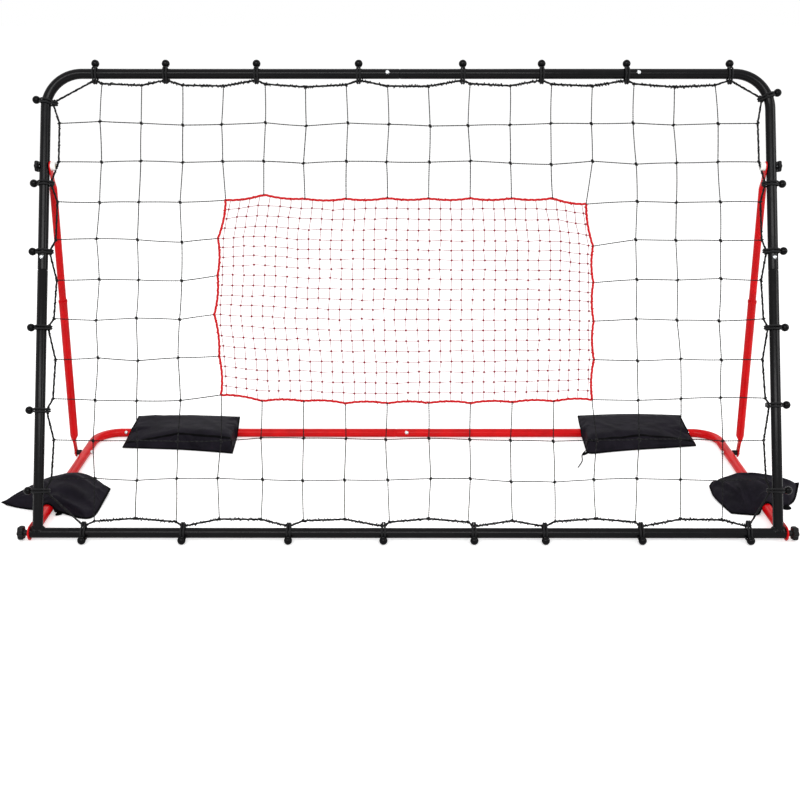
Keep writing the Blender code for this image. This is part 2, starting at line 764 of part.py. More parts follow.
def loop_line(ball_turn, reach):
    """The loop's points in its own plane, as (back, outwards): out into the ball at one end,
    round the tube, and round the net's border at the other end."""
    ball = -ball_turn
    behind = math.radians(145)
    half, rise = LOOP_SHOULDER
    line = [(LOOP_OUTER * math.sin(ball), LOOP_OUTER * math.cos(ball))]
    for start, end, first in ((ball, behind, 1), (math.tau - behind, math.tau + ball, 0)):
        steps = math.ceil((end - start) / LOOP_TURN)
        for k in range(first, steps + first):
            angle = start + (end - start) * k / steps
            line.append((LOOP_WRAP * math.sin(angle), LOOP_WRAP * math.cos(angle)))
        if first:
            line += [(half, rise - reach), (0.0, -reach), (-half, rise - reach)]
    return line


def bungee_mesh(name, elastic, ball_turn, reach):
    """A ball on its elastic loop. +Z is outwards from the tube, and the loop goes round the
    tube and the net's border. The ball may sit turned round the tube towards the front."""
    rings = []
    for back, out in loop_line(ball_turn, reach):
        centre = Vector((0, back, out))
        away = centre.normalized()
        rings.append([centre + X * (CORD_R * u) + away * (CORD_R * v) for u, v in stadium(1, 1, LOOP_SIDES)])
    sides = LOOP_SIDES
    vertices = [point for ring in rings for point in ring]
    faces = []
    for r in range(len(rings)):
        ahead = (r + 1) % len(rings)
        for k in range(sides):
            a = r * sides + k
            b = r * sides + (k + 1) % sides
            c = ahead * sides + (k + 1) % sides
            d = ahead * sides + k
            faces.append([a, b, c, d])
    loop = mesh_of(name, vertices, faces)
    outward = Vector((0, -math.sin(ball_turn), math.cos(ball_turn)))
    profile = []
    flat_r = BALL_R * math.cos(math.pi / BALL_SIDES)
    for k in range(BALL_SIDES // 2):
        angle = math.tau * (k + 0.5) / BALL_SIDES
        profile.append((BALL_R * (1 - math.cos(angle)), flat_r * math.sin(angle)))
    ball = turned(f"{name}_ball", profile, outward * (BALL_REACH - BALL_R), outward, BALL_SIDES)
    source = helper(f"{name}_source", loop)
    boolean(source, helper(f"{name}_ball_source", ball), "UNION")
    mesh = evaluated_mesh(source, name)
    mesh.materials.clear()
    mesh.materials.append(elastic)
    return mesh


def tube_station(side, along):
    """Middle, outward and lengthwise directions of the frame tube at a hook. Past the foot of
    an upper bend the station is on the bend."""
    if side == "top":
        return X * along + Z * FRAME_HEIGHT, Z, X
    if side == "bottom":
        return X * along, -Z, -X
    sign = -1 if side == "left" else 1
    tangent = FRAME_HEIGHT - FRAME_BEND_R
    if along <= tangent:
        return X * (sign * UPRIGHT_X) + Z * along, X * sign, Z * -sign
    turn = math.asin((along - tangent) / FRAME_BEND_R)
    outward = X * (sign * math.cos(turn)) + Z * math.sin(turn)
    centre = X * (sign * (UPRIGHT_X - FRAME_BEND_R)) + Z * tangent
    lengthwise = X * math.sin(turn) - Z * (sign * math.cos(turn))
    step = math.pi / 2 / BEND_STEPS
    chord = FRAME_BEND_R * math.cos(step / 2) / math.cos(turn % step - step / 2)
    return centre + outward * chord, outward, lengthwise


def hooks():
    """(side, places along it) of every bungee, in order round the frame."""

    def across(shares):
        return [(2 * share - 1) * NET_HALF_WIDTH for share in shares]

    def upwards(shares):
        return [NET_BOTTOM_GAP + NET_HEIGHT * share for share in shares]

    return {
        "bottom": across(BOTTOM_HOOKS),
        "right": upwards(RIGHT_HOOKS),
        "top": across(TOP_HOOKS),
        "left": upwards(LEFT_HOOKS),
    }


def loop_reach(hook, ends, outward, lengthwise):
    """How far in a loop goes, from the tube's middle, to pass round the border rope. The rope
    leaves the hook at a slant on either side, and a steeper slant needs a longer loop."""
    deepest = 0.0
    for end in ends:
        run = Vector((end[0] - hook[0], 0, end[1] - hook[1]))
        slant = math.atan2(-run.dot(outward), abs(run.dot(lengthwise)))
        depth = (CORD_R + FIT_GAP) * math.tan(slant) + BORDER_WIDTH / 2 / math.cos(slant)
        deepest = max(deepest, depth)
    return HOOK_INSET + deepest + FIT_GAP + CORD_R + LOOP_SLACK


def add_bungees(frame, layout, elastic):
    points, knot, _, border = layout
    sink = math.asin((PIVOT_HEIGHT - BALL_R - FIT_GAP) / BALL_REACH)
    forward = math.pi / 2 - FRAME_LEAN - sink
    hook = len(knot)
    for side, places in hooks().items():
        for number, along in enumerate(places, start=1):
            middle, outward, lengthwise = tube_station(side, along)
            ends = [points[a if b == hook else b] for a, b in border if hook in (a, b)]
            reach = loop_reach(points[hook], ends, outward, lengthwise)
            name = f"bungee_{side}_{number}"
            mesh = bungee_mesh(name, elastic, forward if side == "bottom" else 0.0, reach)
            add(name, mesh, elastic, frame, frame_place(middle, outward, lengthwise))
            hook += 1


# Nets


def net_layout():
    """The net's knots at rest. The border is pulled out to every bungee, and the strands share
    the pull, so each free knot lies at the mean of its neighbours, weighted by tension."""
    columns, rows = NET_COLUMNS + 1, NET_ROWS + 1
    flat = [
        ((2 * i / NET_COLUMNS - 1) * NET_HALF_WIDTH, NET_BOTTOM_GAP + NET_HEIGHT * j / NET_ROWS)
        for j in range(rows)
        for i in range(columns)
    ]
    knot = {(i, j): j * columns + i for j in range(rows) for i in range(columns)}
    sides = {
        "bottom": [knot[i, 0] for i in range(columns)],
        "right": [knot[columns - 1, j] for j in range(rows)],
        "top": [knot[i, rows - 1] for i in range(columns)],
        "left": [knot[0, j] for j in range(rows)],
    }
    fixed = {}
    border = []
    for side, places in hooks().items():
        level = side in ("bottom", "top")
        chain = [(flat[n][0 if level else 1], n) for n in sides[side]]
        for along in places:
            middle, outward, _ = tube_station(side, along)
            hook = middle - outward * HOOK_INSET
            fixed[len(flat)] = (hook.x, hook.z)
            chain.append((hook.x if level else hook.z, len(flat)))
            flat.append((hook.x, hook.z))
        chain.sort()
        border += [(a[1], b[1]) for a, b in zip(chain, chain[1:])]
    strands = [(knot[i, j], knot[i + 1, j]) for j in range(1, rows - 1) for i in range(columns - 1)]
    strands += [(knot[i, j], knot[i, j + 1]) for i in range(1, columns - 1) for j in range(rows - 1)]
    points = np.array(flat)
    pull = np.zeros((len(flat), len(flat)))
    for links, tension in ((strands, 1.0), (border, BORDER_PULL)):
        for a, b in links:
            share = tension / max(0.02, float(np.hypot(*(points[a] - points[b]))))
            pull[a, b] += share
            pull[b, a] += share
    laplace = np.diag(pull.sum(axis=1)) - pull
    free = [n for n in range(len(flat)) if n not in fixed]
    held = list(fixed)
    points[held] = [fixed[n] for n in held]
    known = -laplace[np.ix_(free, held)] @ points[held]
    points[free] = np.linalg.solve(laplace[np.ix_(free, free)], known)
    return points, knot, strands, border


def thick_net(name, points, links, thickness):
    """A flat net from its drawing: links are (point, point, width). Neighbouring strands meet in
    shared corners, so that the whole net is one body."""
    around = {}
    for a, b, width in links:
        for here, there in ((a, b), (b, a)):
            ahead = Vector(points[there]) - Vector(points[here])
            around.setdefault(here, []).append((math.atan2(ahead.y, ahead.x), there, width / 2))
    flat = []
    right_of = {}
    left_of = {}
    knots = []
    for here, spokes in around.items():
        spokes.sort()
        origin = Vector(points[here])
        corners = []
        for k, (angle, there, half) in enumerate(spokes):
            angle_2, there_2, half_2 = spokes[(k + 1) % len(spokes)]
            ahead = Vector((math.cos(angle), math.sin(angle)))
            left = Vector((-ahead.y, ahead.x))
            if len(spokes) == 1:
                right_of[here, there] = len(flat)
                flat.append(origin - left * half)
                left_of[here, there] = len(flat)
                flat.append(origin + left * half)
                break
            ahead_2 = Vector((math.cos(angle_2), math.sin(angle_2)))
            right_2 = Vector((ahead_2.y, -ahead_2.x))
            cross = ahead.x * ahead_2.y - ahead.y * ahead_2.x
            if abs(cross) < 0.15:
                corner = origin + (left * half + right_2 * half_2) / 2
            else:
                gap = right_2 * half_2 - left * half
                reach = (gap.x * ahead_2.y - gap.y * ahead_2.x) / cross
                corner = origin + left * half + ahead * reach
            left_of[here, there] = len(flat)
            right_of[here, there_2] = len(flat)
            corners.append(len(flat))
            flat.append(corner)
        if len(corners) > 2:
            knots.append(corners)
    faces = knots + [
        [right_of[a, b], left_of[b, a], right_of[b, a], left_of[a, b]] for a, b, _ in links
    ]
    count = len(flat)
    half = thickness / 2
    vertices = [Vector((p.x, -half, p.y)) for p in flat] + [Vector((p.x, half, p.y)) for p in flat]
    edge_use = {}
    for face in faces:
        for a, b in zip(face, face[1:] + face[:1]):
            edge_use[a, b] = edge_use.get((a, b), 0) + 1
    walls = [[b, a, a + count, b + count] for a, b in edge_use if (b, a) not in edge_use]
    backs = [[n + count for n in face[::-1]] for face in faces]
    return mesh_of(name, vertices, faces + backs + walls)


def in_window(i, j):
    return TARGET_LEFT <= i <= TARGET_RIGHT and TARGET_LOW <= j <= TARGET_HIGH


def rebound_net(frame, layout, twine):
    """The black net: twine between a border rope and the target panel's rope."""
    points, knot, strands, border = layout
    place = {number: cell for cell, number in knot.items()}
    flat = [tuple(p) for p in points]
    links = [(a, b, BORDER_WIDTH) for a, b in border]
    for a, b in strands:
        inside = [in_window(*place[n]) for n in (a, b)]
        if all(inside):
            continue
        if any(inside):
            edge, other = (a, b) if inside[0] else (b, a)
            ahead = (Vector(flat[other]) - Vector(flat[edge])).normalized()
            end = Vector(flat[edge]) + ahead * (TARGET_BORDER / 2 + FIT_GAP)
            flat.append((end.x, end.y))
            links.append((len(flat) - 1, other, TWINE_WIDTH))
        else:
            links.append((a, b, TWINE_WIDTH))
    return add("rebound_net", thick_net("rebound_net", flat, links, NET_THICKNESS), twine, frame)


def target_net(frame, layout, red):
    """The red-bordered panel of finer mesh in the middle of the net."""
    points, knot, _, _ = layout

    def on_net(u, v):
        i = min(int(u), TARGET_RIGHT - 1)
        j = min(int(v), TARGET_HIGH - 1)
        du, dv = u - i, v - j
        corner = [points[knot[i + a, j + b]] for a, b in ((0, 0), (1, 0), (0, 1), (1, 1))]
        low = corner[0] * (1 - du) + corner[1] * du
        high = corner[2] * (1 - du) + corner[3] * du
        return tuple(low * (1 - dv) + high * dv)

    columns, rows = TARGET_CELLS_X + 1, TARGET_CELLS_S + 1
    flat = [
        on_net(
            TARGET_LEFT + (TARGET_RIGHT - TARGET_LEFT) * i / TARGET_CELLS_X,
            TARGET_LOW + (TARGET_HIGH - TARGET_LOW) * j / TARGET_CELLS_S,
        )
        for j in range(rows)
        for i in range(columns)
    ]
    links = []
    for j in range(rows):
        for i in range(columns):
            here = j * columns + i
            if i + 1 < columns:
                links.append((here, here + 1, TARGET_BORDER if j in (0, rows - 1) else TARGET_TWINE))
            if j + 1 < rows:
                links.append((here, here + columns, TARGET_BORDER if i in (0, columns - 1) else TARGET_TWINE))
    return add("target_net", thick_net("target_net", flat, links, NET_THICKNESS), red, frame)


# Weight bags


def bag_mesh(name, levels, width, depth, height):
    """A filled bag: an oblong with rounded sides that swells from the ground. Its levels give the
    spread at shares of its height: a box-shaped pouch, or one crowned over the tube."""
    outline = []
    for k in range(BAG_POINTS):
        angle = math.tau * (k + 0.5) / BAG_POINTS
        cos, sin = math.cos(angle), math.sin(angle)
        fit = 1.0 / max(abs(cos), abs(sin))
        square = Vector((cos, sin, 0)) * fit
        outline.append(square * BAG_SQUARE + Vector((cos, sin, 0)) * BAG_ROUND)
    rings = []
    for share, spread in levels:
        rings.append(
            [
                Vector((p.x * spread * width / 2, p.y * spread * depth / 2, share * height))
                for p in outline
            ]
        )
    return loft(name, rings)


def bag_corner(share):
    """How far out a rear bag's corner lies, of its full half width, at a share of its height."""
    levels = REAR_BAG_LEVELS
    corner = BAG_SQUARE + BAG_ROUND * math.cos(math.pi / 4)
    for (low, before), (high, after) in zip(levels, levels[1:]):
        if share <= high:
            return corner * (before + (after - before) * (share - low) / (high - low))
    return corner * levels[-1][1]


def rear_bag_x(side):
    """A rear bag's middle: the bag's outer edge lies beside the base's corner button."""
    gap = REAR_BAG_TO_BUTTON[0 if side < 0 else 1]
    return side * (BASE_BUTTON_X - gap - REAR_BAG["width"] / 2)


def channel_mesh(name, start, end, radius):
    """The cutter for the groove in a bag: it goes over the tube and is open to the ground."""
    ahead = (end - start).normalized()
    across = ahead.cross(Z).normalized()
    radius = radius / math.cos(math.pi / 2 / GROOVE_STEPS)
    below = Z * GROOVE_BELOW
    rings = []
    for point in (start, end):
        ring = [point + across * radius - below]
        for k in range(GROOVE_STEPS + 1):
            angle = math.pi * k / GROOVE_STEPS
            ring.append(point + across * (radius * math.cos(angle)) + Z * (radius * math.sin(angle)))
        ring.append(point - across * radius - below)
        rings.append(ring)
    return loft(name, rings)


def add_bag(name, size, levels, middle, turn, tube_start, tube_end, nylon):
    piece = add(name, bag_mesh(name, levels, **size), nylon)
    piece.location = middle
    piece.rotation_euler = (0, 0, turn)
    widest = TUBE_R / math.cos(math.pi / TUBE_SIDES)
    groove = channel_mesh(f"{name}_groove", tube_start, tube_end, widest + FIT_GAP)
    boolean(piece, helper(f"{name}_groove", groove))
    return piece


def tie_cord(nylon):
    """The loose end of the cord that ties the rear right bag, lying on the ground."""
    reach = bag_corner(2 * TIE_CORD_R / REAR_BAG["height"])
    corner_x = rear_bag_x(1) - REAR_BAG["width"] / 2 * reach
    corner_y = BASE_DEPTH - REAR_BAG_AHEAD - REAR_BAG["depth"] / 2 * reach
    start = Vector((corner_x - TIE_CORD_R - FIT_GAP, corner_y, TIE_CORD_R + FIT_GAP))
    knots = [start + Vector((x, y, 0)) for x, y in TIE_CORD_ROUTE]
    line = bpy.data.curves.new("bag_tie_cord", "CURVE")
    line.dimensions = "3D"
    line.bevel_depth = TIE_CORD_R
    line.bevel_resolution = 2
    line.use_fill_caps = True
    points = []
    for k in range(len(knots) - 1):
        before = knots[max(0, k - 1)]
        after = knots[min(len(knots) - 1, k + 2)]
        for step in range(4):
            points.append(smooth_point(before, knots[k], knots[k + 1], after, step / 4))
    points.append(knots[-1])
    spline = line.splines.new("POLY")
    spline.points.add(len(points) - 1)
    for spot, point in zip(spline.points, points):
        spot.co = (*point, 1.0)
    piece = bpy.data.objects.new("bag_tie_cord", line)
    bpy.context.scene.collection.objects.link(piece)
    line.materials.append(nylon)
    return piece


def smooth_point(before, start, end, after, share):
    """A point on the smooth curve from start to end, seen with its neighbours."""
    leave = (end - before) / 2
    arrive = (after - start) / 2
    s2, s3 = share ** 2, share ** 3
    return (
        start * (2 * s3 - 3 * s2 + 1)
        + leave * (s3 - 2 * s2 + share)
        + end * (3 * s2 - 2 * s3)
        + arrive * (s3 - s2)
    )


def centre_on_origin():
    """The product is moved so that the middle of its length lies over the origin."""
    bpy.context.view_layer.update()
    graph = bpy.context.evaluated_depsgraph_get()
    reach = []
    for piece in bpy.data.objects:
        if piece.type == "MESH" and not piece.hide_render:
            shape = piece.evaluated_get(graph).data
            reach += [(piece.matrix_world @ v.co).y for v in shape.vertices]
    root = pivot("rebounder", (0, -(min(reach) + max(reach)) / 2, 0))
    for piece in list(bpy.data.objects):
        if piece.parent is None and piece is not root:
            piece.parent = root
    print(f"fold axis at Y {root.location.y:.5f} m")


def main():
    clear_scene()
    black = material("black_powder_coat", (0.012, 0.012, 0.013), 0.35)
    red = material("red_powder_coat", (0.55, 0.012, 0.018), 0.35)
    steel = material("zinc_plated_steel", (0.62, 0.62, 0.64), 0.3, 1.0)
    plastic = material("black_moulded_plastic", (0.015, 0.015, 0.015), 0.5)
    elastic = material("black_elastic_and_ball", (0.014, 0.014, 0.015), 0.55)
    twine = material("black_net_twine", (0.020, 0.020, 0.022), 0.8)
    red_twine = material("red_net_twine", (0.50, 0.02, 0.05), 0.8)
    nylon = material("black_nylon", (0.022, 0.020, 0.028), 0.75)

    frame = pivot("fold_axis", (0, 0, PIVOT_HEIGHT), -FRAME_LEAN)
    lower_frame(frame, black)
    top_tube(frame, black)
    layout = net_layout()
    add_bungees(frame, layout, elastic)
    rebound_net(frame, layout, twine)
    target_net(frame, layout, red_twine)

    length, tilt = strut_numbers()
    button = snap_button_mesh(steel)
    for side, name in ((-1, "left"), (1, "right")):
        corner_tube(side, frame, black)
        base_arm(side, red)
        rear_bar(side, red)
        foot = (0, STRUT_PIVOT_Y, arm_height(STRUT_PIVOT_Y))
        strut(side, pivot(f"strut_axis_{name}", foot, tilt), red)
        strut_bolt(side, steel)
        tab_face = BOTTOM_TUBE_HALF + 2 * FIT_GAP + TAB_THICKNESS
        add_knob(f"corner_knob_{name}", X * (side * tab_face), X * side,
                 (KNOB_R, KNOB_THICKNESS, KNOB_HUB_LENGTH), STUD_REACH, plastic, frame)
        upright_face = X * (side * (UPRIGHT_X + TUBE_R + FIT_GAP)) + Z * STRUT_BOLT_S
        add_knob(f"strut_knob_{name}", upright_face, X * side,
                 (STRUT_KNOB_R, STRUT_KNOB_THICKNESS, STRUT_KNOB_HUB),
                 2 * TUBE_R + FIT_GAP, plastic, frame)
        upright = X * (side * UPRIGHT_X) + Z * UPRIGHT_BUTTON_S
        add(f"snap_button_upright_{name}", button, steel, frame, frame_place(upright, -Y, -Z))
        top = X * TOP_BUTTONS_X[0 if side < 0 else 1] + Z * FRAME_HEIGHT
        add(f"snap_button_top_{name}", button, steel, frame, frame_place(top, -Y, X * -side))
        corner = Vector((side * BASE_BUTTON_X, BASE_DEPTH, TUBE_R))
        add(f"snap_button_base_{name}", button, steel, None,
            frame_place(corner, base_button_direction(), X * -side))
        rear_middle = Vector((rear_bag_x(side), BASE_DEPTH - REAR_BAG_AHEAD, 0))
        bar = Vector((rear_middle.x, BASE_DEPTH, TUBE_R))
        past = X * REAR_BAG["width"]
        add_bag(f"rear_bag_{name}", REAR_BAG, REAR_BAG_LEVELS, rear_middle, 0.0,
                bar - past, bar + past, nylon)
        nth = 0 if side < 0 else 1
        front_middle = Vector((side * (ARM_X - FRONT_BAG_INWARDS[nth]), FRONT_BAG_Y[nth], 0))
        behind = FRONT_BAG_Y[nth] + FRONT_BAG["width"]
        near = Vector((side * ARM_X, 0.0, arm_height(0.0)))
        far = Vector((side * ARM_X, behind, arm_height(behind)))
        add_bag(f"front_bag_{name}", FRONT_BAG, FRONT_BAG_LEVELS, front_middle, FRONT_BAG_TURN[nth],
                near, far, nylon)
    middle = Vector((0, BASE_DEPTH, TUBE_R))
    add("snap_button_base_middle", button, steel, None, frame_place(middle, base_button_direction(), -X))
    tie_cord(nylon)
    centre_on_origin()


main()
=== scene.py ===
# %% [markdown]
# Soccer rebounder
# A ball kicked at this net comes back. A black tube frame leans on a red tube base, a net hangs
# in the frame from elastic loops, and four filled bags hold the base down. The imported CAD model
# is loaded first: every finer piece below stands where its CAD node stands.

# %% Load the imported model
import math

import bmesh
import bpy
import numpy as np
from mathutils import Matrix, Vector


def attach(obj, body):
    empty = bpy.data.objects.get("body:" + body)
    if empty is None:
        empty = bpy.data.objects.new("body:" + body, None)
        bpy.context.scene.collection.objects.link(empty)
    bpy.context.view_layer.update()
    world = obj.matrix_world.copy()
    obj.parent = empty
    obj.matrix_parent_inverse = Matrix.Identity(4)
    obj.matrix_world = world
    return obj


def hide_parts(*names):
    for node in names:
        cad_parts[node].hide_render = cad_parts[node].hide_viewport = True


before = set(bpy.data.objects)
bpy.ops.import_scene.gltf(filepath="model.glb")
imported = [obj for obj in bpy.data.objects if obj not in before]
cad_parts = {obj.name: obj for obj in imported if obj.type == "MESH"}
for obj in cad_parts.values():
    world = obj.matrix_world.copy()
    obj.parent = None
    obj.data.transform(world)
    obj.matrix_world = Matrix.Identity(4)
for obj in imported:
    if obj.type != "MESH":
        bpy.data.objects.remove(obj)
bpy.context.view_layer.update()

# %% [markdown]
# Camera
# The picture was taken from in front, a little above the top bar, looking down. A camera can be
# fitted to straight edges of known size, and that was done here with the frame's own tubes. A
# perspective lens of 50 mm gives the same narrowing towards the rear bar.

# %% Camera
CAMERA_PLACE = (-0.0152, -2.7913, 1.2862)
CAMERA_PITCH = math.radians(90 - 20.69)
CAMERA_YAW = math.radians(0.088)
CAMERA_LENS = 50.4
SENSOR_WIDTH = 36.0

camera_data = bpy.data.cameras.new("camera")
camera_data.type = "PERSP"
camera_data.lens = CAMERA_LENS
camera_data.sensor_width = SENSOR_WIDTH
camera = bpy.data.objects.new("camera", camera_data)
camera.location = CAMERA_PLACE
camera.rotation_euler = (CAMERA_PITCH, 0.0, CAMERA_YAW)
bpy.context.scene.collection.objects.link(camera)
bpy.context.scene.camera = camera
print("camera stands", CAMERA_PLACE)

# %% [markdown]
# Numbers from the frame
# The black frame leans back about the axis of its bottom tube. One function turns a place in the
# frame's own plane (x across, s up the lean, back behind it) into a place in the room, and
# another does the same for the base, whose y is measured from that axis.

# %% Places in the frame and on the base
FOLD_Y = -0.35199
PIVOT_HEIGHT = 0.0185
LEAN = math.radians(24)
TUBE_R = 0.0125
UPRIGHT_X = 0.9025
FRAME_HEIGHT = 1.140
BASE_DEPTH = 0.656

FRAME_UP = Vector((0, math.sin(LEAN), math.cos(LEAN)))
FRAME_BACK = Vector((0, math.cos(LEAN), -math.sin(LEAN)))
X = Vector((1, 0, 0))
Y = Vector((0, 1, 0))
Z = Vector((0, 0, 1))


def in_frame(x, s, back=0.0):
    return Vector((x, FOLD_Y, PIVOT_HEIGHT)) + FRAME_UP * s + FRAME_BACK * back


def on_base(x, y, z):
    return Vector((x, FOLD_Y + y, z))


print("top bar at", [round(v, 3) for v in in_frame(0, FRAME_HEIGHT)])

# %% [markdown]
# Tie cord
# The rear right bag is closed with a cord, and its loose end lies on the ground in front of it:
# 12 cm of limp 3 mm cord in one slack bend, all of which the photograph shows. It is a round
# profile swept along a smooth curve, on the route of its CAD solid.

# %% Tie cord
TIE_CORD_R = 0.0015
TIE_CORD_START = (0.51733, 0.19324, 0.0018)
TIE_CORD_ROUTE = ((0.0, 0.0), (-0.014, -0.030), (-0.020, -0.072), (-0.038, -0.116))


def smooth_line(points, steps, closed=False):
    """A smooth curve through points, with so many steps between each pair."""
    points = [np.array(p, dtype=float) for p in points]
    count = len(points)
    line = []
    for k in range(count if closed else count - 1):
        if closed:
            a, b, c, d = (points[(k + n) % count] for n in (-1, 0, 1, 2))
        else:
            before, after = max(0, k - 1), min(count - 1, k + 2)
            a, b, c, d = points[before], points[k], points[k + 1], points[after]
        for step in range(steps):
            t = step / steps
            line.append(
                b * (2 * t ** 3 - 3 * t ** 2 + 1) + (c - a) / 2 * (t ** 3 - 2 * t ** 2 + t)
                + c * (3 * t ** 2 - 2 * t ** 3) + (d - b) / 2 * (t ** 3 - t ** 2)
            )
    if not closed:
        line.append(points[-1])
    return np.array(line)


cord_line = smooth_line([np.array(TIE_CORD_START) + (x, y, 0.0) for x, y in TIE_CORD_ROUTE], 4)
cord_curve = bpy.data.curves.new("tie_cord", "CURVE")
cord_curve.dimensions = "3D"
cord_curve.bevel_depth = TIE_CORD_R
cord_curve.bevel_resolution = 4
cord_curve.use_fill_caps = True
spline = cord_curve.splines.new("POLY")
spline.points.add(len(cord_line) - 1)
for spot, place in zip(spline.points, cord_line):
    spot.co = (*place, 1.0)
tie_cord = bpy.data.objects.new("tie_cord", cord_curve)
bpy.context.scene.collection.objects.link(tie_cord)
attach(tie_cord, "base")
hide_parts("bag_tie_cord")

# %% [markdown]
# Nodes and colours
# A material is a small graph of nodes. One function adds a node, sets its values and links its
# inputs, so that each material below reads as a list. Colours are written as they look on a
# screen, and the shader wants them linear.

# %% Colour and node helpers
def linear(hex_colour):
    channels = [int(hex_colour[i:i + 2], 16) / 255 for i in (1, 3, 5)]
    flat = [c / 12.92 if c <= 0.04045 else ((c + 0.055) / 1.055) ** 2.4 for c in channels]
    return (*flat, 1.0)


def node(material, kind, inputs=None, **settings):
    """A node in a material or a world. A socket given as a value is linked, anything else is set."""
    added = material.node_tree.nodes.new(kind)
    for name, value in settings.items():
        setattr(added, name, value)
    for name, value in (inputs or {}).items():
        if isinstance(value, bpy.types.NodeSocket):
            material.node_tree.links.new(value, added.inputs[name])
        else:
            added.inputs[name].default_value = value
    return added


def new_material(name, **shader_inputs):
    material = bpy.data.materials.new(name)
    material.use_nodes = True
    shader = material.node_tree.nodes["Principled BSDF"]
    for socket, value in shader_inputs.items():
        shader.inputs[socket.replace("_", " ")].default_value = value
    return material, shader


def wire(material, source, shader, socket):
    material.node_tree.links.new(source, shader.inputs[socket])


def blended(material, factor, low, high):
    """A colour between two, by a factor socket."""
    ramp = node(material, "ShaderNodeValToRGB", {"Fac": factor})
    ramp.color_ramp.elements[0].color = low
    ramp.color_ramp.elements[1].color = high
    return ramp


def places(material):
    return node(material, "ShaderNodeTexCoord").outputs["Object"]


def grain(material, millimetres, detail=2.0, roughness=0.5, where=None):
    """Noise whose lumps are so many millimetres across."""
    return node(
        material,
        "ShaderNodeTexNoise",
        {
            "Vector": where or places(material),
            "Scale": 1000.0 / millimetres,
            "Detail": detail,
            "Roughness": roughness,
        },
    ).outputs["Fac"]


def bump(material, height, millimetres, strength=1.0, under=None):
    inputs = {"Height": height, "Distance": millimetres / 1000.0, "Strength": strength}
    if under is not None:
        inputs["Normal"] = under
    return node(material, "ShaderNodeBump", inputs).outputs["Normal"]


print("coat red in linear light", [round(v, 3) for v in linear("#d60a11")])

# %% [markdown]
# Powder coat on steel tube
# The tubes are welded steel, powder coated: a polyester powder is charged, sprayed and baked
# into a hard gloss skin about 0.08 mm thick. It gives the eye a clean highlight that is a little
# wavy, the orange peel, some two millimetres from wave to wave. Handling leaves faint scuffs,
# which are duller and slightly paler. Its IOR is that of polyester, about 1.5.

# %% Powder coat
ORANGE_PEEL_MM = 2.2
SCUFF_MM = 38.0


def powder_coat(name, colour, shade, scuffed, specular, roughness, scuff_rough):
    material, shader = new_material(name, IOR=1.5, Roughness=roughness, Metallic=0.0)
    shader.inputs["Specular IOR Level"].default_value = specular
    body = blended(material, grain(material, 55.0, 3.0), linear(shade), linear(colour))
    body.color_ramp.elements[0].position = 0.3
    body.color_ramp.elements[1].position = 0.6
    scuffs = grain(material, SCUFF_MM, 8.0, 0.72)
    worn = blended(material, scuffs, (0.0, 0.0, 0.0, 1.0), (0.5, 0.5, 0.5, 1.0))
    worn.color_ramp.elements[0].position = 0.60
    worn.color_ramp.elements[1].position = 0.74
    # A mix node's colours are its sockets 6 and 7, and its output 2
    mixed = node(
        material,
        "ShaderNodeMix",
        {0: worn.outputs["Color"], 6: body.outputs["Color"], 7: linear(scuffed)},
        data_type="RGBA",
    )
    wire(material, mixed.outputs[2], shader, "Base Color")
    gloss = node(
        material,
        "ShaderNodeMapRange",
        {"Value": scuffs, "From Min": 0.5, "From Max": 0.75, "To Min": roughness, "To Max": scuff_rough},
    ).outputs["Result"]
    wire(material, gloss, shader, "Roughness")
    wire(material, bump(material, grain(material, ORANGE_PEEL_MM, 1.0), 0.02, 0.8), shader, "Normal")
    return material


black_coat = powder_coat("gloss_black_powder_coat", "#0c0b0d", "#08080a", "#151517", 0.12, 0.22, 0.42)
red_coat = powder_coat("gloss_red_powder_coat", "#d60a11", "#c0080e", "#d82c30", 0.15, 0.28, 0.45)
print("coats:", black_coat.name, red_coat.name)

# %% [markdown]
# Zinc plate
# Bolts, nuts and the studs of the snap buttons are plated steel: a thin bright metal with a
# slightly cloudy, blue-clear passivation. The washers have the yellow kind. A metal keeps the
# default IOR, and its colour is in the base colour.

# %% Zinc plate
def zinc_plate(name, bright, cloudy, roughness):
    material, shader = new_material(name, Metallic=1.0, Roughness=roughness)
    cloud = grain(material, 4.0, 3.0)
    tone = blended(material, cloud, linear(cloudy), linear(bright))
    wire(material, tone.outputs["Color"], shader, "Base Color")
    matte = node(
        material,
        "ShaderNodeMapRange",
        {"Value": cloud, "To Min": roughness * 0.8, "To Max": roughness * 1.4},
    ).outputs["Result"]
    wire(material, matte, shader, "Roughness")
    wire(material, bump(material, grain(material, 0.8), 0.01, 0.5), shader, "Normal")
    return material


zinc = zinc_plate("clear_zinc_plate", "#e9ebec", "#cfd3d6", 0.34)
yellow_zinc = zinc_plate("yellow_zinc_plate", "#dcc27a", "#c4a860", 0.32)
print("zinc plates:", zinc.name, yellow_zinc.name)

# %% [markdown]
# Moulded plastic
# The knobs are glass-filled nylon with a fine spark-eroded grain, which dulls them. The balls on
# the elastic loops are polypropylene from a polished mould, so they are glossy, with fine flow
# waves. Both are black, with an IOR near 1.5. The bushings on the struts' heads are plain nylon,
# which is white.

# %% Moulded plastic
def moulded(name, colour, paler, roughness, grain_mm, depth_mm, specular):
    material, shader = new_material(name, IOR=1.5, Roughness=roughness)
    shader.inputs["Specular IOR Level"].default_value = specular
    tone = blended(material, grain(material, 9.0, 3.0), linear(colour), linear(paler))
    wire(material, tone.outputs["Color"], shader, "Base Color")
    wire(material, bump(material, grain(material, grain_mm, 2.0), depth_mm), shader, "Normal")
    return material


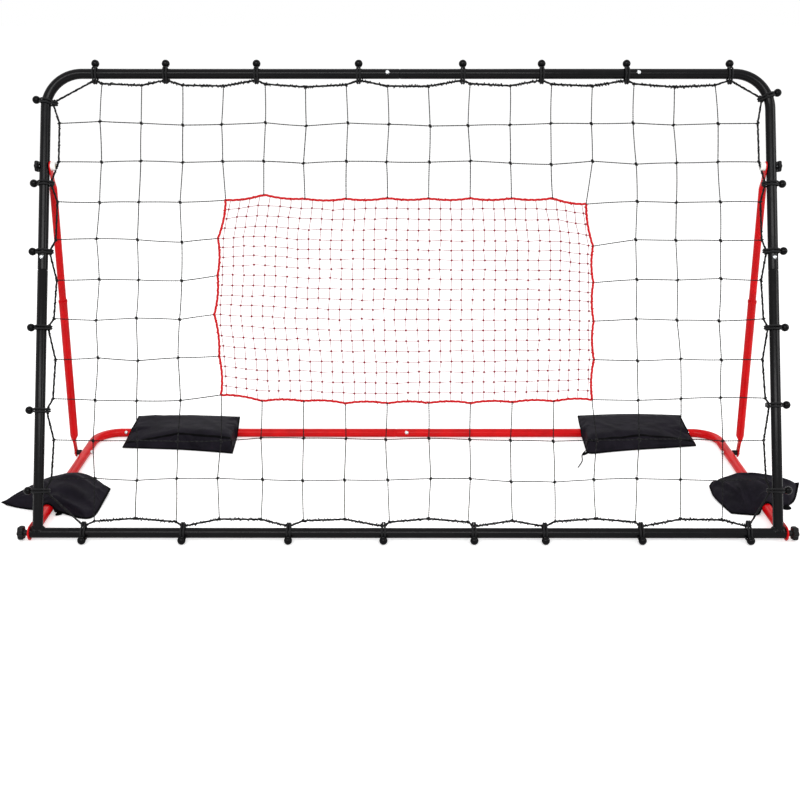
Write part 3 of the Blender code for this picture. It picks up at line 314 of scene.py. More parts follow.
knob_nylon = moulded("grained_black_nylon", "#0d0d0e", "#151517", 0.42, 0.7, 0.03, 0.16)
ball_plastic = moulded("polished_black_polypropylene", "#060607", "#0b0b0d", 0.16, 3.0, 0.01, 0.09)
white_nylon = moulded("natural_white_nylon", "#ecebe6", "#f6f5f1", 0.38, 2.0, 0.02, 0.4)
print("plastics:", knob_nylon.name, ball_plastic.name, white_nylon.name)

# %% [markdown]
# Cord, twine and net
# The loops are latex under a braided polyester cover. The net is knotted from laid polyester
# twine. Braid and lay are drawn from each cord's own length and girth, which the mesh carries as
# a map in metres, so a pattern keeps its size on every cord. The twist itself is in the mesh. The
# target's rope is a clear scarlet, and its thin twine is duller against the light.

# %% Fibres
MAP_NAME = "lay"


def cord_map(material):
    return node(material, "ShaderNodeUVMap", uv_map=MAP_NAME).outputs["UV"]


def fibre(name, colour, paler, roughness, thread_mm, depth_mm):
    """Fine threads that run with a cord, drawn a little coarser than life."""
    material, shader = new_material(name, Roughness=roughness, IOR=1.55)
    shader.inputs["Specular IOR Level"].default_value = 0.15
    shader.inputs["Sheen Weight"].default_value = 0.04
    shader.inputs["Sheen Roughness"].default_value = 0.5
    stretched = node(
        material,
        "ShaderNodeMapping",
        {"Vector": cord_map(material), "Scale": (0.25, 1.0, 1.0)},
    ).outputs["Vector"]
    threads = grain(material, thread_mm, 3.0, 0.6, stretched)
    tone = blended(material, threads, linear(colour), linear(paler))
    tone.color_ramp.elements[0].position = 0.35
    tone.color_ramp.elements[1].position = 0.7
    wire(material, tone.outputs["Color"], shader, "Base Color")
    wire(material, bump(material, threads, depth_mm, 0.8), shader, "Normal")
    return material


def braided(name, colour, paler, pitch_mm):
    """Two sets of threads crossing at 45 degrees over a round core."""
    material, shader = new_material(name, Roughness=0.62, IOR=1.55)
    shader.inputs["Specular IOR Level"].default_value = 0.15
    shader.inputs["Sheen Weight"].default_value = 0.04
    waves = []
    for turn in (45.0, -45.0):
        laid = node(
            material,
            "ShaderNodeMapping",
            {"Vector": cord_map(material), "Rotation": (0.0, 0.0, math.radians(turn))},
        ).outputs["Vector"]
        waves.append(
            node(
                material,
                "ShaderNodeTexWave",
                {"Vector": laid, "Scale": 1000.0 / pitch_mm / 20.0 * math.tau},
                wave_type="BANDS",
            ).outputs["Fac"]
        )
    over = node(material, "ShaderNodeMath", {0: waves[0], 1: waves[1]}, operation="MAXIMUM").outputs["Value"]
    tone = blended(material, over, linear(colour), linear(paler))
    wire(material, tone.outputs["Color"], shader, "Base Color")
    wire(material, bump(material, over, 0.15, 0.8), shader, "Normal")
    return material


elastic_braid = braided("braided_black_elastic", "#060607", "#161618", 1.2)
black_twine = fibre("black_polyester_twine", "#050506", "#0f0f11", 0.75, 0.35, 0.12)
red_twine = fibre("crimson_polyester_twine", "#7c1626", "#a02a3a", 0.72, 0.35, 0.12)
red_rope = fibre("scarlet_polyester_rope", "#a60812", "#e6101a", 0.62, 1.1, 0.2)
print("fibres:", elastic_braid.name, black_twine.name, red_twine.name, red_rope.name)

# %% [markdown]
# Bag cloth
# The bags are sewn from coated polyester oxford, a plain weave of flat yarns about 0.4 mm apart.
# That is too fine to show from where the camera stands, so it is drawn three times as coarse and
# very shallow. The coating makes it slightly shiny in the folds, with a cool, purplish black.

# %% Coated oxford cloth
YARN_MM = 1.2


def oxford(name, dark, pale, rough, specular):
    material, shader = new_material(name, Roughness=rough, IOR=1.5)
    shader.inputs["Specular IOR Level"].default_value = specular
    cloth_places = places(material)
    yarns = []
    for direction in ("X", "Y"):
        yarns.append(
            node(
                material,
                "ShaderNodeTexWave",
                {"Vector": cloth_places, "Scale": 1000.0 / YARN_MM / 20.0 * math.tau, "Distortion": 0.6},
                wave_type="BANDS",
                bands_direction=direction,
            ).outputs["Fac"]
        )
    weave = node(material, "ShaderNodeMath", {0: yarns[0], 1: yarns[1]}, operation="ADD").outputs["Value"]
    creases = grain(material, 45.0, 5.0, 0.62)
    tone = blended(material, creases, linear(dark), linear(pale))
    tone.color_ramp.elements[0].position = 0.35
    tone.color_ramp.elements[1].position = 0.68
    wire(material, tone.outputs["Color"], shader, "Base Color")
    crumple = bump(material, grain(material, 16.0, 4.0, 0.55), 1.6, 0.5)
    wire(material, bump(material, weave, 0.10, 0.35, crumple), shader, "Normal")
    return material


bag_cloth = oxford("coated_black_oxford", "#141218", "#1d1a22", 0.58, 0.045)
# The binding is near black, far darker than the cloth. That is partly its own colour and partly painted
# shade, for the dark edges of the bags and the shadow line under their folds.
binding_and_painted_shade = oxford("black_binding_with_painted_edge_shade", "#020203", "#050506", 0.7, 0.04)
tie_cord.data.materials.append(binding_and_painted_shade)
print("cloth:", bag_cloth.name, binding_and_painted_shade.name)

# %% [markdown]
# Meshes from rings
# Nearly everything here is a tube: steel, elastic, twine or rope. A tube is a row of rings
# joined by four-sided faces, with a cap at each open end, and a shape is a list of such skins.
# The same function also lays the map in metres that the cord materials read.

# %% Ring meshes
def circle(sides, radius=1.0, phase=0.5):
    angles = math.tau * (np.arange(sides) + phase) / sides
    return np.stack([np.cos(angles), np.sin(angles)], axis=1) * radius


def skin(rings, closed=False):
    """Vertices, faces and map of a tube through rings of points."""
    rings = np.asarray(rings, dtype=float)
    count, sides = rings.shape[:2]
    steps = count if closed else count - 1
    middles = rings.mean(axis=1)
    hops = np.linalg.norm(np.roll(middles, -1, axis=0) - middles, axis=1)
    along = np.concatenate([[0.0], np.cumsum(hops)])
    girth = np.linalg.norm(np.roll(rings[0], -1, axis=0) - rings[0], axis=1).sum()
    around = girth * np.arange(sides + 1) / sides
    r, k = (a.ravel() for a in np.meshgrid(np.arange(steps), np.arange(sides), indexing="ij"))
    n, m = (r + 1) % count, (k + 1) % sides
    faces = np.stack([r * sides + k, r * sides + m, n * sides + m, n * sides + k], axis=1)
    lay = np.stack(
        [
            np.stack([along[r], around[k]], axis=1),
            np.stack([along[r], around[k + 1]], axis=1),
            np.stack([along[r + 1], around[k + 1]], axis=1),
            np.stack([along[r + 1], around[k]], axis=1),
        ],
        axis=1,
    )
    faces, lay = faces.tolist(), lay.tolist()
    if not closed:
        for first, order in ((0, -1), ((count - 1) * sides, 1)):
            faces.append([first + i for i in range(sides)][::order])
            lay.append([[0.0, 0.0]] * sides)
    return rings.reshape(-1, 3), faces, lay


def skins_mesh(name, skins):
    vertices, faces, lay = [], [], []
    count = 0
    for points, polygons, maps in skins:
        vertices.append(points)
        faces += [[count + i for i in face] for face in polygons]
        lay += [pair for face in maps for pair in face]
        count += len(points)
    mesh = bpy.data.meshes.new(name)
    mesh.from_pydata(np.concatenate(vertices), [], faces)
    layer = mesh.uv_layers.new(name=MAP_NAME)
    layer.uv.foreach_set("vector", np.asarray(lay, dtype=np.float32).ravel())
    mesh.update()
    return mesh


def outward(mesh):
    shell = bmesh.new()
    shell.from_mesh(mesh)
    bmesh.ops.recalc_face_normals(shell, faces=shell.faces)
    shell.to_mesh(mesh)
    shell.free()


def add_piece(name, mesh, finish, body, replaced=(), sharp=38):
    outward(mesh)
    mesh.shade_smooth()
    mesh.set_sharp_from_angle(angle=math.radians(sharp))
    mesh.materials.append(finish)
    piece = bpy.data.objects.new(name, mesh)
    bpy.context.scene.collection.objects.link(piece)
    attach(piece, body)
    if replaced:
        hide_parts(*replaced)
    return piece


# %% [markdown]
# Tubes and bends
# A steel tube keeps its roundness in a bend, so its rings stand square to the line of the bend.
# The line is given with a radius at each point: a swaged end is a thinner plug behind a short
# shoulder, and a cut end shows the wall's thickness, so the tube has an inside as well.

# %% Tubes
TUBE_SIDES = 40
TUBE_WALL = 0.0012
FIT_GAP = 0.0003
PLUG_R = TUBE_R - TUBE_WALL - FIT_GAP
PLUG_LENGTH = 0.060
EDGE_ROUND = 0.0006
SHOULDER = 0.003
DRILL_SIDES = 24
DRILL_DEPTH = 0.03


def bend_points(centre, radius, u, v, steps=20):
    angles = [math.pi / 2 * k / steps for k in range(steps + 1)]
    return [centre + u * (radius * math.cos(a)) + v * (radius * math.sin(a)) for a in angles]


def rings_along(path, radii, normal, sides=TUBE_SIDES):
    """Round rings square to a flat path."""
    unit = circle(sides)
    rings = []
    for k, centre in enumerate(path):
        before = (path[k] - path[max(0, k - 1)]).normalized()
        after = (path[min(len(path) - 1, k + 1)] - path[k]).normalized()
        ahead = (before + after).normalized()
        side = ahead.cross(normal).normalized()
        stretch = 1.0 / max(0.6, ahead.dot(after if after.length else before))
        u, v = np.array(side * (radii[k] * stretch)), np.array(normal * radii[k])
        rings.append(np.array(centre) + unit[:, :1] * u + unit[:, 1:] * v)
    return rings


def hollow(path, radii, normal, sides=TUBE_SIDES):
    """A tube with its wall and rounded cut edges, as one closed skin."""
    outer = rings_along(path, radii, normal, sides)
    inner = rings_along(path, [r - TUBE_WALL for r in radii], normal, sides)
    first, last = (path[1] - path[0]).normalized(), (path[-1] - path[-2]).normalized()

    def lip(ring, centre, inward, grow):
        centre = np.array(centre)
        return centre + (ring - centre) * grow + np.array(inward) * EDGE_ROUND

    start_lip = lip(outer[0], path[0], first, 1.0)
    end_lip = lip(outer[-1], path[-1], -last, 1.0)
    start_face = np.array(path[0]) + (outer[0] - np.array(path[0])) * (1 - EDGE_ROUND / radii[0])
    end_face = np.array(path[-1]) + (outer[-1] - np.array(path[-1])) * (1 - EDGE_ROUND / radii[-1])
    around = [start_face, start_lip, *outer[1:-1], end_lip, end_face, *inner[::-1]]
    return skin(around, closed=True)


def swaged(start, end, male_start=False, male_end=False):
    """Path and radii of a straight tube, with a plug past its seam at a male end."""
    ahead = (end - start).normalized()
    path, radii = [], []
    if male_start:
        path += [start - ahead * PLUG_LENGTH, start - ahead * FIT_GAP, start + ahead * SHOULDER]
        radii += [PLUG_R, PLUG_R, TUBE_R]
    else:
        path.append(start)
        radii.append(TUBE_R)
    if male_end:
        path += [end - ahead * SHOULDER, end + ahead * FIT_GAP, end + ahead * PLUG_LENGTH]
        radii += [TUBE_R, PLUG_R, PLUG_R]
    else:
        path.append(end)
        radii.append(TUBE_R)
    return path, radii


def cut_away(mesh, tool_skins, finer=0):
    """What is left of a mesh once skins are cut out of it. Its faces are split first if asked."""
    tool_mesh = skins_mesh("tool", tool_skins)
    outward(tool_mesh)
    tool = bpy.data.objects.new("tool", tool_mesh)
    blank = bpy.data.objects.new("blank", mesh)
    for shape in (tool, blank):
        bpy.context.scene.collection.objects.link(shape)
    if finer:
        blank.modifiers.new("finer", "SUBSURF").levels = finer
    cut = blank.modifiers.new("cut", "BOOLEAN")
    cut.solver = "EXACT"
    cut.object = tool
    graph = bpy.context.evaluated_depsgraph_get()
    result = bpy.data.meshes.new_from_object(blank.evaluated_get(graph), depsgraph=graph)
    for shape in (tool, blank):
        bpy.data.objects.remove(shape, do_unlink=True)
    return result


def drilled(mesh, holes):
    """A mesh with round holes cut through it, each (start, end, radius)."""
    drills = []
    for a, b, r in holes:
        normal = (b - a).orthogonal().normalized()
        drills.append(skin(rings_along([a, b], [r, r], normal, DRILL_SIDES)))
    return cut_away(mesh, drills)


def merged(meshes):
    """One mesh from several, their maps kept."""
    whole = bmesh.new()
    for mesh in meshes:
        whole.from_mesh(mesh)
    result = bpy.data.meshes.new(meshes[0].name)
    whole.to_mesh(result)
    whole.free()
    return result


# %% [markdown]
# The black frame
# The lower part is one weldment: a bottom tube with an upright welded on near each end. A weld
# bead is a row of small overlapping waves left by the welder, so its ring is rippled. Two corner
# tubes with a bend each and a straight top tube plug together above it. Snap buttons look out of
# round holes at every joint.

# %% Frame tubes
BOTTOM_TUBE_HALF = 0.9198
FRAME_BEND_R = 0.088
UPRIGHT_BUTTON_S = 0.677
TOP_BUTTONS_X = (-0.051, 0.574)
BUTTON_TO_SEAM = 0.030
STRUT_BOLT_S = 0.906
BUTTON_HOLE_R = 0.0056
BOLT_HOLE_R = 0.0043
WELD_WAVE_MM = 3.2
# A bead's section: so far out from the upright's wall, so far up from the bottom tube
WELD_SECTION = (
    (-0.0010, -0.0012), (0.0052, -0.0016), (0.0042, 0.0010), (0.0022, 0.0028), (0.0004, 0.0046),
    (-0.0010, 0.0044),
)
INSERT_LENGTH = 0.012


def weld_bead(side, sides=96):
    """A rippled fillet where an upright stands on the bottom tube."""
    waves = round(math.tau * TUBE_R * 1000 / WELD_WAVE_MM)
    rings = []
    for k in range(sides):
        angle = math.tau * k / sides
        u, v = math.cos(angle), math.sin(angle)
        ripple = 0.00035 * math.cos(waves * angle)
        seat = math.sqrt(max(0.0, TUBE_R ** 2 - (TUBE_R * v) ** 2))
        ring = []
        for out, up in WELD_SECTION:
            grow = TUBE_R + max(-0.001, out + (ripple if out > 0 else 0))
            reach = min(grow * abs(v), TUBE_R + 0.0008)
            seat_here = seat
            if out > 0.003:
                seat_here = math.sqrt(max(0.0, (TUBE_R + 0.0006) ** 2 - min(reach, TUBE_R) ** 2))
            across = side * UPRIGHT_X + u * grow
            ring.append(in_frame(across, seat_here + up + ripple * 0.5, math.copysign(reach, v)))
        rings.append(ring)
    return skin(rings, closed=True)


def button_hole(x, s):
    """The hole in the front of a frame tube that a snap button looks out of."""
    return in_frame(x, s, -0.004), in_frame(x, s, -0.02), BUTTON_HOLE_R


def lower_frame():
    seam = UPRIGHT_BUTTON_S - BUTTON_TO_SEAM
    ends = [in_frame(x, 0) for x in (-BOTTOM_TUBE_HALF, BOTTOM_TUBE_HALF)]
    skins = [hollow(ends, [TUBE_R, TUBE_R], FRAME_UP)]
    uprights = []
    for side in (-1, 1):
        x = side * UPRIGHT_X
        path, radii = swaged(in_frame(x, 0.004), in_frame(x, seam), male_end=True)
        upright = skins_mesh("upright", [hollow(path, radii, X)])
        uprights.append(drilled(upright, [button_hole(x, UPRIGHT_BUTTON_S)]))
        skins.append(weld_bead(side))
        insert = [in_frame(side * (BOTTOM_TUBE_HALF - inset), 0) for inset in (INSERT_LENGTH, 0.0002)]
        skins.append(skin(rings_along(insert, [TUBE_R - TUBE_WALL] * 2, FRAME_UP)))
    return merged([skins_mesh("lower_frame_tubes", skins), *uprights])


def corner_tube(side):
    seam = UPRIGHT_BUTTON_S - BUTTON_TO_SEAM
    button_x = TOP_BUTTONS_X[0] if side < 0 else TOP_BUTTONS_X[1]
    centre = in_frame(side * (UPRIGHT_X - FRAME_BEND_R), FRAME_HEIGHT - FRAME_BEND_R)
    bend = bend_points(centre, FRAME_BEND_R, X * side, FRAME_UP)
    path = [in_frame(side * UPRIGHT_X, seam), *bend, in_frame(button_x - side * BUTTON_TO_SEAM, FRAME_HEIGHT)]
    tube = skins_mesh("corner", [hollow(path, [TUBE_R] * len(path), FRAME_BACK)])
    holes = [button_hole(side * UPRIGHT_X, UPRIGHT_BUTTON_S), button_hole(button_x, FRAME_HEIGHT)]
    bolt = in_frame(side * UPRIGHT_X, STRUT_BOLT_S)
    return drilled(tube, [*holes, (bolt - X * DRILL_DEPTH, bolt + X * DRILL_DEPTH, BOLT_HOLE_R)])


def top_tube():
    left, right = (x + sign * BUTTON_TO_SEAM for x, sign in zip(TOP_BUTTONS_X, (1, -1)))
    path, radii = swaged(in_frame(left, FRAME_HEIGHT), in_frame(right, FRAME_HEIGHT), True, True)
    tube = skins_mesh("top", [hollow(path, radii, FRAME_BACK)])
    return drilled(tube, [button_hole(x, FRAME_HEIGHT) for x in TOP_BUTTONS_X])


add_piece("lower_frame_coated", lower_frame(), black_coat, "front_frame", ["lower_frame"])
for side, name in ((-1, "left"), (1, "right")):
    add_piece(
        f"corner_tube_{name}_coated", corner_tube(side), black_coat, "front_frame",
        [f"corner_tube_{name}"],
    )
add_piece("top_tube_coated", top_tube(), black_coat, "front_frame", ["top_tube"])
print("frame tubes:", [round(v, 3) for v in in_frame(UPRIGHT_X, FRAME_HEIGHT)])

# %% [markdown]
# The red base
# Each arm starts as a round tube whose end was flattened in a press into an upright tab, turns
# behind the net with a bend, and ends at a seam with the rear bar, which is made of two halves.
# A section that changes from a slot shape to a circle gives the pressed tab and the soft
# shoulders next to it.

# %% Base tubes
ARM_X = 0.9174
BASE_BEND_R = 0.070
BASE_BUTTON_X = 0.835
TAB_THICKNESS = 0.003
PIVOT_TAB_R = 0.0183
TAB_STRAIGHT, TAB_TAPER = 0.016, 0.040
ARM_BORE = 0.042
PLUG_PAST_BUTTON = 0.010
STRUT_PIVOT_Y = 0.505
BUTTON_RAISE = math.radians(25)
BASE_BUTTON_OUT = -Y * math.cos(BUTTON_RAISE) + Z * math.sin(BUTTON_RAISE)


def arm_height(y):
    return PIVOT_HEIGHT + (TUBE_R - PIVOT_HEIGHT) * max(0.0, y) / BASE_DEPTH


def slot_section(half_long, half_short, sides=TUBE_SIDES):
    """A circle where both halves are equal, and a flattened tube where not."""
    unit = circle(sides)
    shift = np.where(unit[:, 0] > 0, 1, -1) * (half_long - half_short)
    return np.stack([shift + unit[:, 0] * half_short, unit[:, 1] * half_short], axis=1)


def section_rings(stations, long_way, short_way):
    """Rings from (centre, half long, half short) along one upright tab and its tube."""
    rings = []
    for centre, half_long, half_short in stations:
        flat = slot_section(max(half_long, half_short), half_short)
        spokes = flat[:, :1] * np.array(long_way), flat[:, 1:] * np.array(short_way)
        rings.append(np.array(centre) + spokes[0] + spokes[1])
    return rings


def eased(share):
    return share * share * (3 - 2 * share)


def base_button_hole(x):
    spot = on_base(x, BASE_DEPTH, TUBE_R)
    return spot + BASE_BUTTON_OUT * 0.004, spot + BASE_BUTTON_OUT * 0.02, BUTTON_HOLE_R


def base_arm(side):
    tab_x = BOTTOM_TUBE_HALF + FIT_GAP + TAB_THICKNESS / 2
    thin = TAB_THICKNESS / 2
    stations = []
    for step in range(15):
        angle = math.pi / 2 * (1 - step / 15) * 0.94
        high = PIVOT_TAB_R * math.cos(angle)
        centre = on_base(side * tab_x, -PIVOT_TAB_R * math.sin(angle), PIVOT_HEIGHT)
        stations.append((centre, high, min(high, thin)))
    stations.append((on_base(side * tab_x, 0.0, PIVOT_HEIGHT), PIVOT_TAB_R, thin))
    stations.append((on_base(side * tab_x, TAB_STRAIGHT, arm_height(TAB_STRAIGHT)), PIVOT_TAB_R, thin))
    for step in range(1, 13):
        share = step / 12
        ease = eased(share)
        y = TAB_STRAIGHT + TAB_TAPER * share
        centre = on_base(side * (tab_x + (ARM_X - tab_x) * ease), y, arm_height(y))
        high = PIVOT_TAB_R + (TUBE_R - PIVOT_TAB_R) * ease
        stations.append((centre, high, thin + (TUBE_R - thin) * ease))
    rings = section_rings(stations, Z, X * side)
    centre = on_base(side * (ARM_X - BASE_BEND_R), BASE_DEPTH - BASE_BEND_R, 0)
    bend = bend_points(centre, BASE_BEND_R, X * side, Y)
    for point in bend:
        point.z = arm_height(point.y - FOLD_Y)
    seam = on_base(side * (BASE_BUTTON_X - BUTTON_TO_SEAM), BASE_DEPTH, TUBE_R)
    path = [stations[-1][0], on_base(side * ARM_X, 0.08, arm_height(0.08)), *bend, seam]
    unit = circle(TUBE_SIDES)
    for k, spot in enumerate(path[1:], start=1):
        ahead = (path[min(k + 1, len(path) - 1)] - path[k - 1]).normalized()
        across = ahead.cross(Z).normalized()
        up = across.cross(ahead)
        ring = unit[:, :1] * np.array(up) + unit[:, 1:] * np.array(across * side)
        rings.append(np.array(spot) + TUBE_R * ring)
    body = skins_mesh("arm", [open_end(rings, path[-1], -X * side)])
    bolt = on_base(side * ARM_X, STRUT_PIVOT_Y, arm_height(STRUT_PIVOT_Y))
    tab = on_base(side * tab_x, 0, PIVOT_HEIGHT)
    return drilled(
        body,
        [
            (tab - X * 0.01, tab + X * 0.01, BOLT_HOLE_R),
            (bolt - X * DRILL_DEPTH, bolt + X * DRILL_DEPTH, BOLT_HOLE_R),
            base_button_hole(side * BASE_BUTTON_X),
        ],
    )


def open_end(rings, end, ahead):
    """A skin whose last end is a cut tube: a rounded edge, the wall and a bore behind it."""
    end, ahead = np.array(end), np.array(ahead)
    last = rings[-1]
    edge = end + (last - end) * (1 - EDGE_ROUND / TUBE_R)
    bore = end + (last - end) * (1 - TUBE_WALL / TUBE_R)
    deep = bore - ahead * ARM_BORE
    return skin([*rings[:-1], last - ahead * EDGE_ROUND, edge, bore, deep])


def rear_bar(side):
    outer_seam = on_base(side * (BASE_BUTTON_X - BUTTON_TO_SEAM), BASE_DEPTH, TUBE_R)
    inner_seam = on_base(-BUTTON_TO_SEAM, BASE_DEPTH, TUBE_R)
    if side < 0:
        path, radii = swaged(outer_seam, inner_seam, True, True)
        path[0] = on_base(-(BASE_BUTTON_X + PLUG_PAST_BUTTON), BASE_DEPTH, TUBE_R)
    else:
        path, radii = swaged(inner_seam, outer_seam, False, True)
        path[-1] = on_base(BASE_BUTTON_X + PLUG_PAST_BUTTON, BASE_DEPTH, TUBE_R)
    tube = skins_mesh("bar", [hollow(path, radii, Z)])
    return drilled(tube, [base_button_hole(x) for x in (side * BASE_BUTTON_X, 0.0)])


for side, name in ((-1, "left"), (1, "right")):
    add_piece(f"base_arm_{name}_coated", base_arm(side), red_coat, "base", [f"base_arm_{name}"])
    add_piece(f"rear_bar_{name}_coated", rear_bar(side), red_coat, "base", [f"rear_bar_{name}"])
print("base depth", BASE_DEPTH)

# %% [markdown]
# The struts
# A strut is two red tubes, the thinner one pushed into the flared mouth of the other. Both outer
# ends are pressed flat and drilled. The struts lean with the frame, so their sections are laid
# out along their own line.

# %% Struts
STRUT_LOWER_R = 0.0110
STRUT_WALL = 0.0013
STRUT_FLARE = 0.0008
STRUT_UPPER_R = STRUT_LOWER_R - STRUT_WALL - FIT_GAP
STRUT_LIP = 0.478
STRUT_OVERLAP = 0.085
STRUT_TAB_R = 0.0125
STRUT_TAB_LENGTH = 0.034
STRUT_TAPER = 0.026
SPACER_LENGTH = 0.0134

strut_foot = Vector((0, STRUT_PIVOT_Y, arm_height(STRUT_PIVOT_Y)))
strut_head = Vector((0, 0, PIVOT_HEIGHT)) + FRAME_UP * STRUT_BOLT_S
STRUT_LENGTH = (strut_head - strut_foot).length
strut_up = (strut_head - strut_foot).normalized()
strut_front = X.cross(strut_up).normalized()


def strut_x(distance):
    foot_x = ARM_X + TUBE_R + FIT_GAP + SPACER_LENGTH + FIT_GAP + TAB_THICKNESS / 2
    head_x = UPRIGHT_X - TUBE_R - FIT_GAP * 1.5 - TAB_THICKNESS / 2
    share = (distance - STRUT_TAB_LENGTH) / (STRUT_LENGTH - 2 * STRUT_TAB_LENGTH)
    return foot_x + (head_x - foot_x) * min(1.0, max(0.0, share))


def on_strut(side, distance):
    spot = strut_foot + strut_up * distance
    return Vector((side * strut_x(distance), FOLD_Y + spot.y, spot.z))


def pressed_end(tube_r):
    """(distance past the hole, half width, half thickness) from a rounded tab into its tube."""
    thin = TAB_THICKNESS / 2
    found = []
    for step in range(12):
        angle = math.pi / 2 * (1 - step / 12) * 0.93
        wide = STRUT_TAB_R * math.cos(angle)
        found.append((-STRUT_TAB_R * math.sin(angle), wide, min(wide, thin)))
    found += [(0.0, STRUT_TAB_R, thin), (STRUT_TAB_LENGTH, STRUT_TAB_R, thin)]
    for step in range(1, 11):
        share = step / 10
        ease = eased(share)
        wide = STRUT_TAB_R + (tube_r - STRUT_TAB_R) * ease
        found.append((STRUT_TAB_LENGTH + STRUT_TAPER * share, wide, thin + (tube_r - thin) * ease))
    return found


def strut_tube(side, lower):
    tube_r = STRUT_LOWER_R if lower else STRUT_UPPER_R
    sections = pressed_end(tube_r)
    if lower:
        flared, lip, bore = tube_r + STRUT_FLARE, tube_r + STRUT_FLARE / 2, tube_r - STRUT_WALL
        mouth = (
            (STRUT_LIP - 0.010, tube_r), (STRUT_LIP - 0.005, flared), (STRUT_LIP - 0.0006, flared),
            (STRUT_LIP, lip), (STRUT_LIP, bore), (STRUT_LIP - 0.12, bore),
        )
        sections += [(distance, radius, radius) for distance, radius in mouth]
    else:
        sections.append((STRUT_LENGTH - (STRUT_LIP - STRUT_OVERLAP), tube_r, tube_r))
    stations = []
    for distance, wide, thick in sections:
        place = distance if lower else STRUT_LENGTH - distance
        stations.append((on_strut(side, place), wide, thick))
    mesh = skins_mesh("strut", [skin(section_rings(stations, strut_front, X * side))])
    hole = on_strut(side, 0.0 if lower else STRUT_LENGTH)
    return drilled(mesh, [(hole - X * 0.008, hole + X * 0.008, BOLT_HOLE_R)])


for side, name in ((-1, "left"), (1, "right")):
    for lower, part in ((True, "lower"), (False, "upper")):
        add_piece(
            f"strut_{part}_{name}_coated", strut_tube(side, lower), red_coat, f"strut_{name}",
            [f"strut_{part}_{name}"],
        )
print("strut length between holes", round(STRUT_LENGTH, 4))

# %% [markdown]
# Snap buttons
# A snap button is a domed stud on a V of spring leaf that sits inside both tubes and springs out
# through their holes. The stud is turned and plated, so its dome catches a bright spot. The dome
# is a profile spun round the button's axis.

# %% Snap buttons
BUTTON_R = 0.0048
BUTTON_PROUD = 0.0035
LEAF_WIDTH = 0.0080
LEAF_LENGTH = 0.028


def spun(profile, start, along, sides=32):
    """A skin from (distance, radius) steps round an axis."""
    ahead = along.normalized()
    across = ahead.orthogonal().normalized()
    up = ahead.cross(across)
    unit = circle(sides)
    rings = []
    for distance, radius in profile:
        middle = np.array(start + ahead * distance)
        rings.append(middle + radius * (unit[:, :1] * np.array(across) + unit[:, 1:] * np.array(up)))
    return skin(rings)


def snap_button(middle, out, along):
    top = TUBE_R + BUTTON_PROUD
    near = PLUG_R - TUBE_WALL - 0.0017
    dome = [(0.0, BUTTON_R)]
    for step in range(9):
        angle = math.pi / 2 * step / 8.4
        dome.append((top - near - 0.0030 * (1 - math.sin(angle)), BUTTON_R * (0.12 + 0.88 * math.cos(angle))))
    stud = spun(dome, middle + out * near, out)
    across = out.cross(along).normalized()
    line = [(-0.006, near), (LEAF_LENGTH - 0.005, near)]
    for step in range(1, 7):
        angle = math.pi * step / 7
        line.append((LEAF_LENGTH - 0.005 + 0.0045 * math.sin(angle), near - 0.0025 * (1 - math.cos(angle))))
    line.append((-0.004, near - 0.0117))
    rings = []
    for k, (a, b) in enumerate(line):
        before, after = line[max(0, k - 1)], line[min(len(line) - 1, k + 1)]
        ahead = (along * (after[0] - before[0]) + out * (after[1] - before[1])).normalized()
        thick = ahead.cross(across).normalized() * 0.0003
        wide = across * (LEAF_WIDTH / 2)
        spot = middle + along * a + out * b
        rings.append([spot - wide - thick, spot + wide - thick, spot + wide + thick, spot - wide + thick])
    return skins_mesh("snap", [stud, skin([[tuple(p) for p in ring] for ring in rings])])


buttons = []
for side, name in ((-1, "left"), (1, "right")):
    upright = in_frame(side * UPRIGHT_X, UPRIGHT_BUTTON_S)
    top_x = TOP_BUTTONS_X[0 if side < 0 else 1]
    corner = on_base(side * BASE_BUTTON_X, BASE_DEPTH, TUBE_R)
    buttons += [
        (f"upright_{name}", upright, -FRAME_BACK, -FRAME_UP),
        (f"top_{name}", in_frame(top_x, FRAME_HEIGHT), -FRAME_BACK, X * -side),
        (f"base_{name}", corner, BASE_BUTTON_OUT, X * -side),
    ]
buttons.append(("base_middle", on_base(0, BASE_DEPTH, TUBE_R), BASE_BUTTON_OUT, -X))
for name, middle, out, along in buttons:
    add_piece(
        f"snap_stud_{name}", snap_button(middle, out, along), zinc, f"button_{name}",
        [f"snap_button_{name}"],
    )
print(len(buttons), "snap buttons")

# %% [markdown]
# Knobs and bolts
# Star knobs clamp the base to the frame and the struts to the uprights. A knob is moulded round
# its steel stud with six soft lobes, a dished face and a raised rim. Its outline is a circle with
# a cosine wave, and its profile runs from the collar over the rim into the dish.

# %% Knobs
BOLT_R = 0.0040
KNOB_LOBES = 6
KNOB_LOBE_DEPTH = 0.10
KNOB_HUB_R = 0.0072
# Radius, thickness and length of the hub
CORNER_KNOB = (0.0180, 0.0145, 0.0115)
STRUT_KNOB = (0.0150, 0.0090, 0.0015)
STUD_REACH = 0.0105
# Steps of distance and radius round a washer, from its bore over its rim
WASHER_SECTION = (
    (0.0, 0.0078), (0.0, 0.0104), (0.0004, 0.0108), (0.0010, 0.0108), (0.0014, 0.0104), (0.0014, 0.0078),
)
TAB_FACE = BOTTOM_TUBE_HALF + 2 * FIT_GAP + TAB_THICKNESS


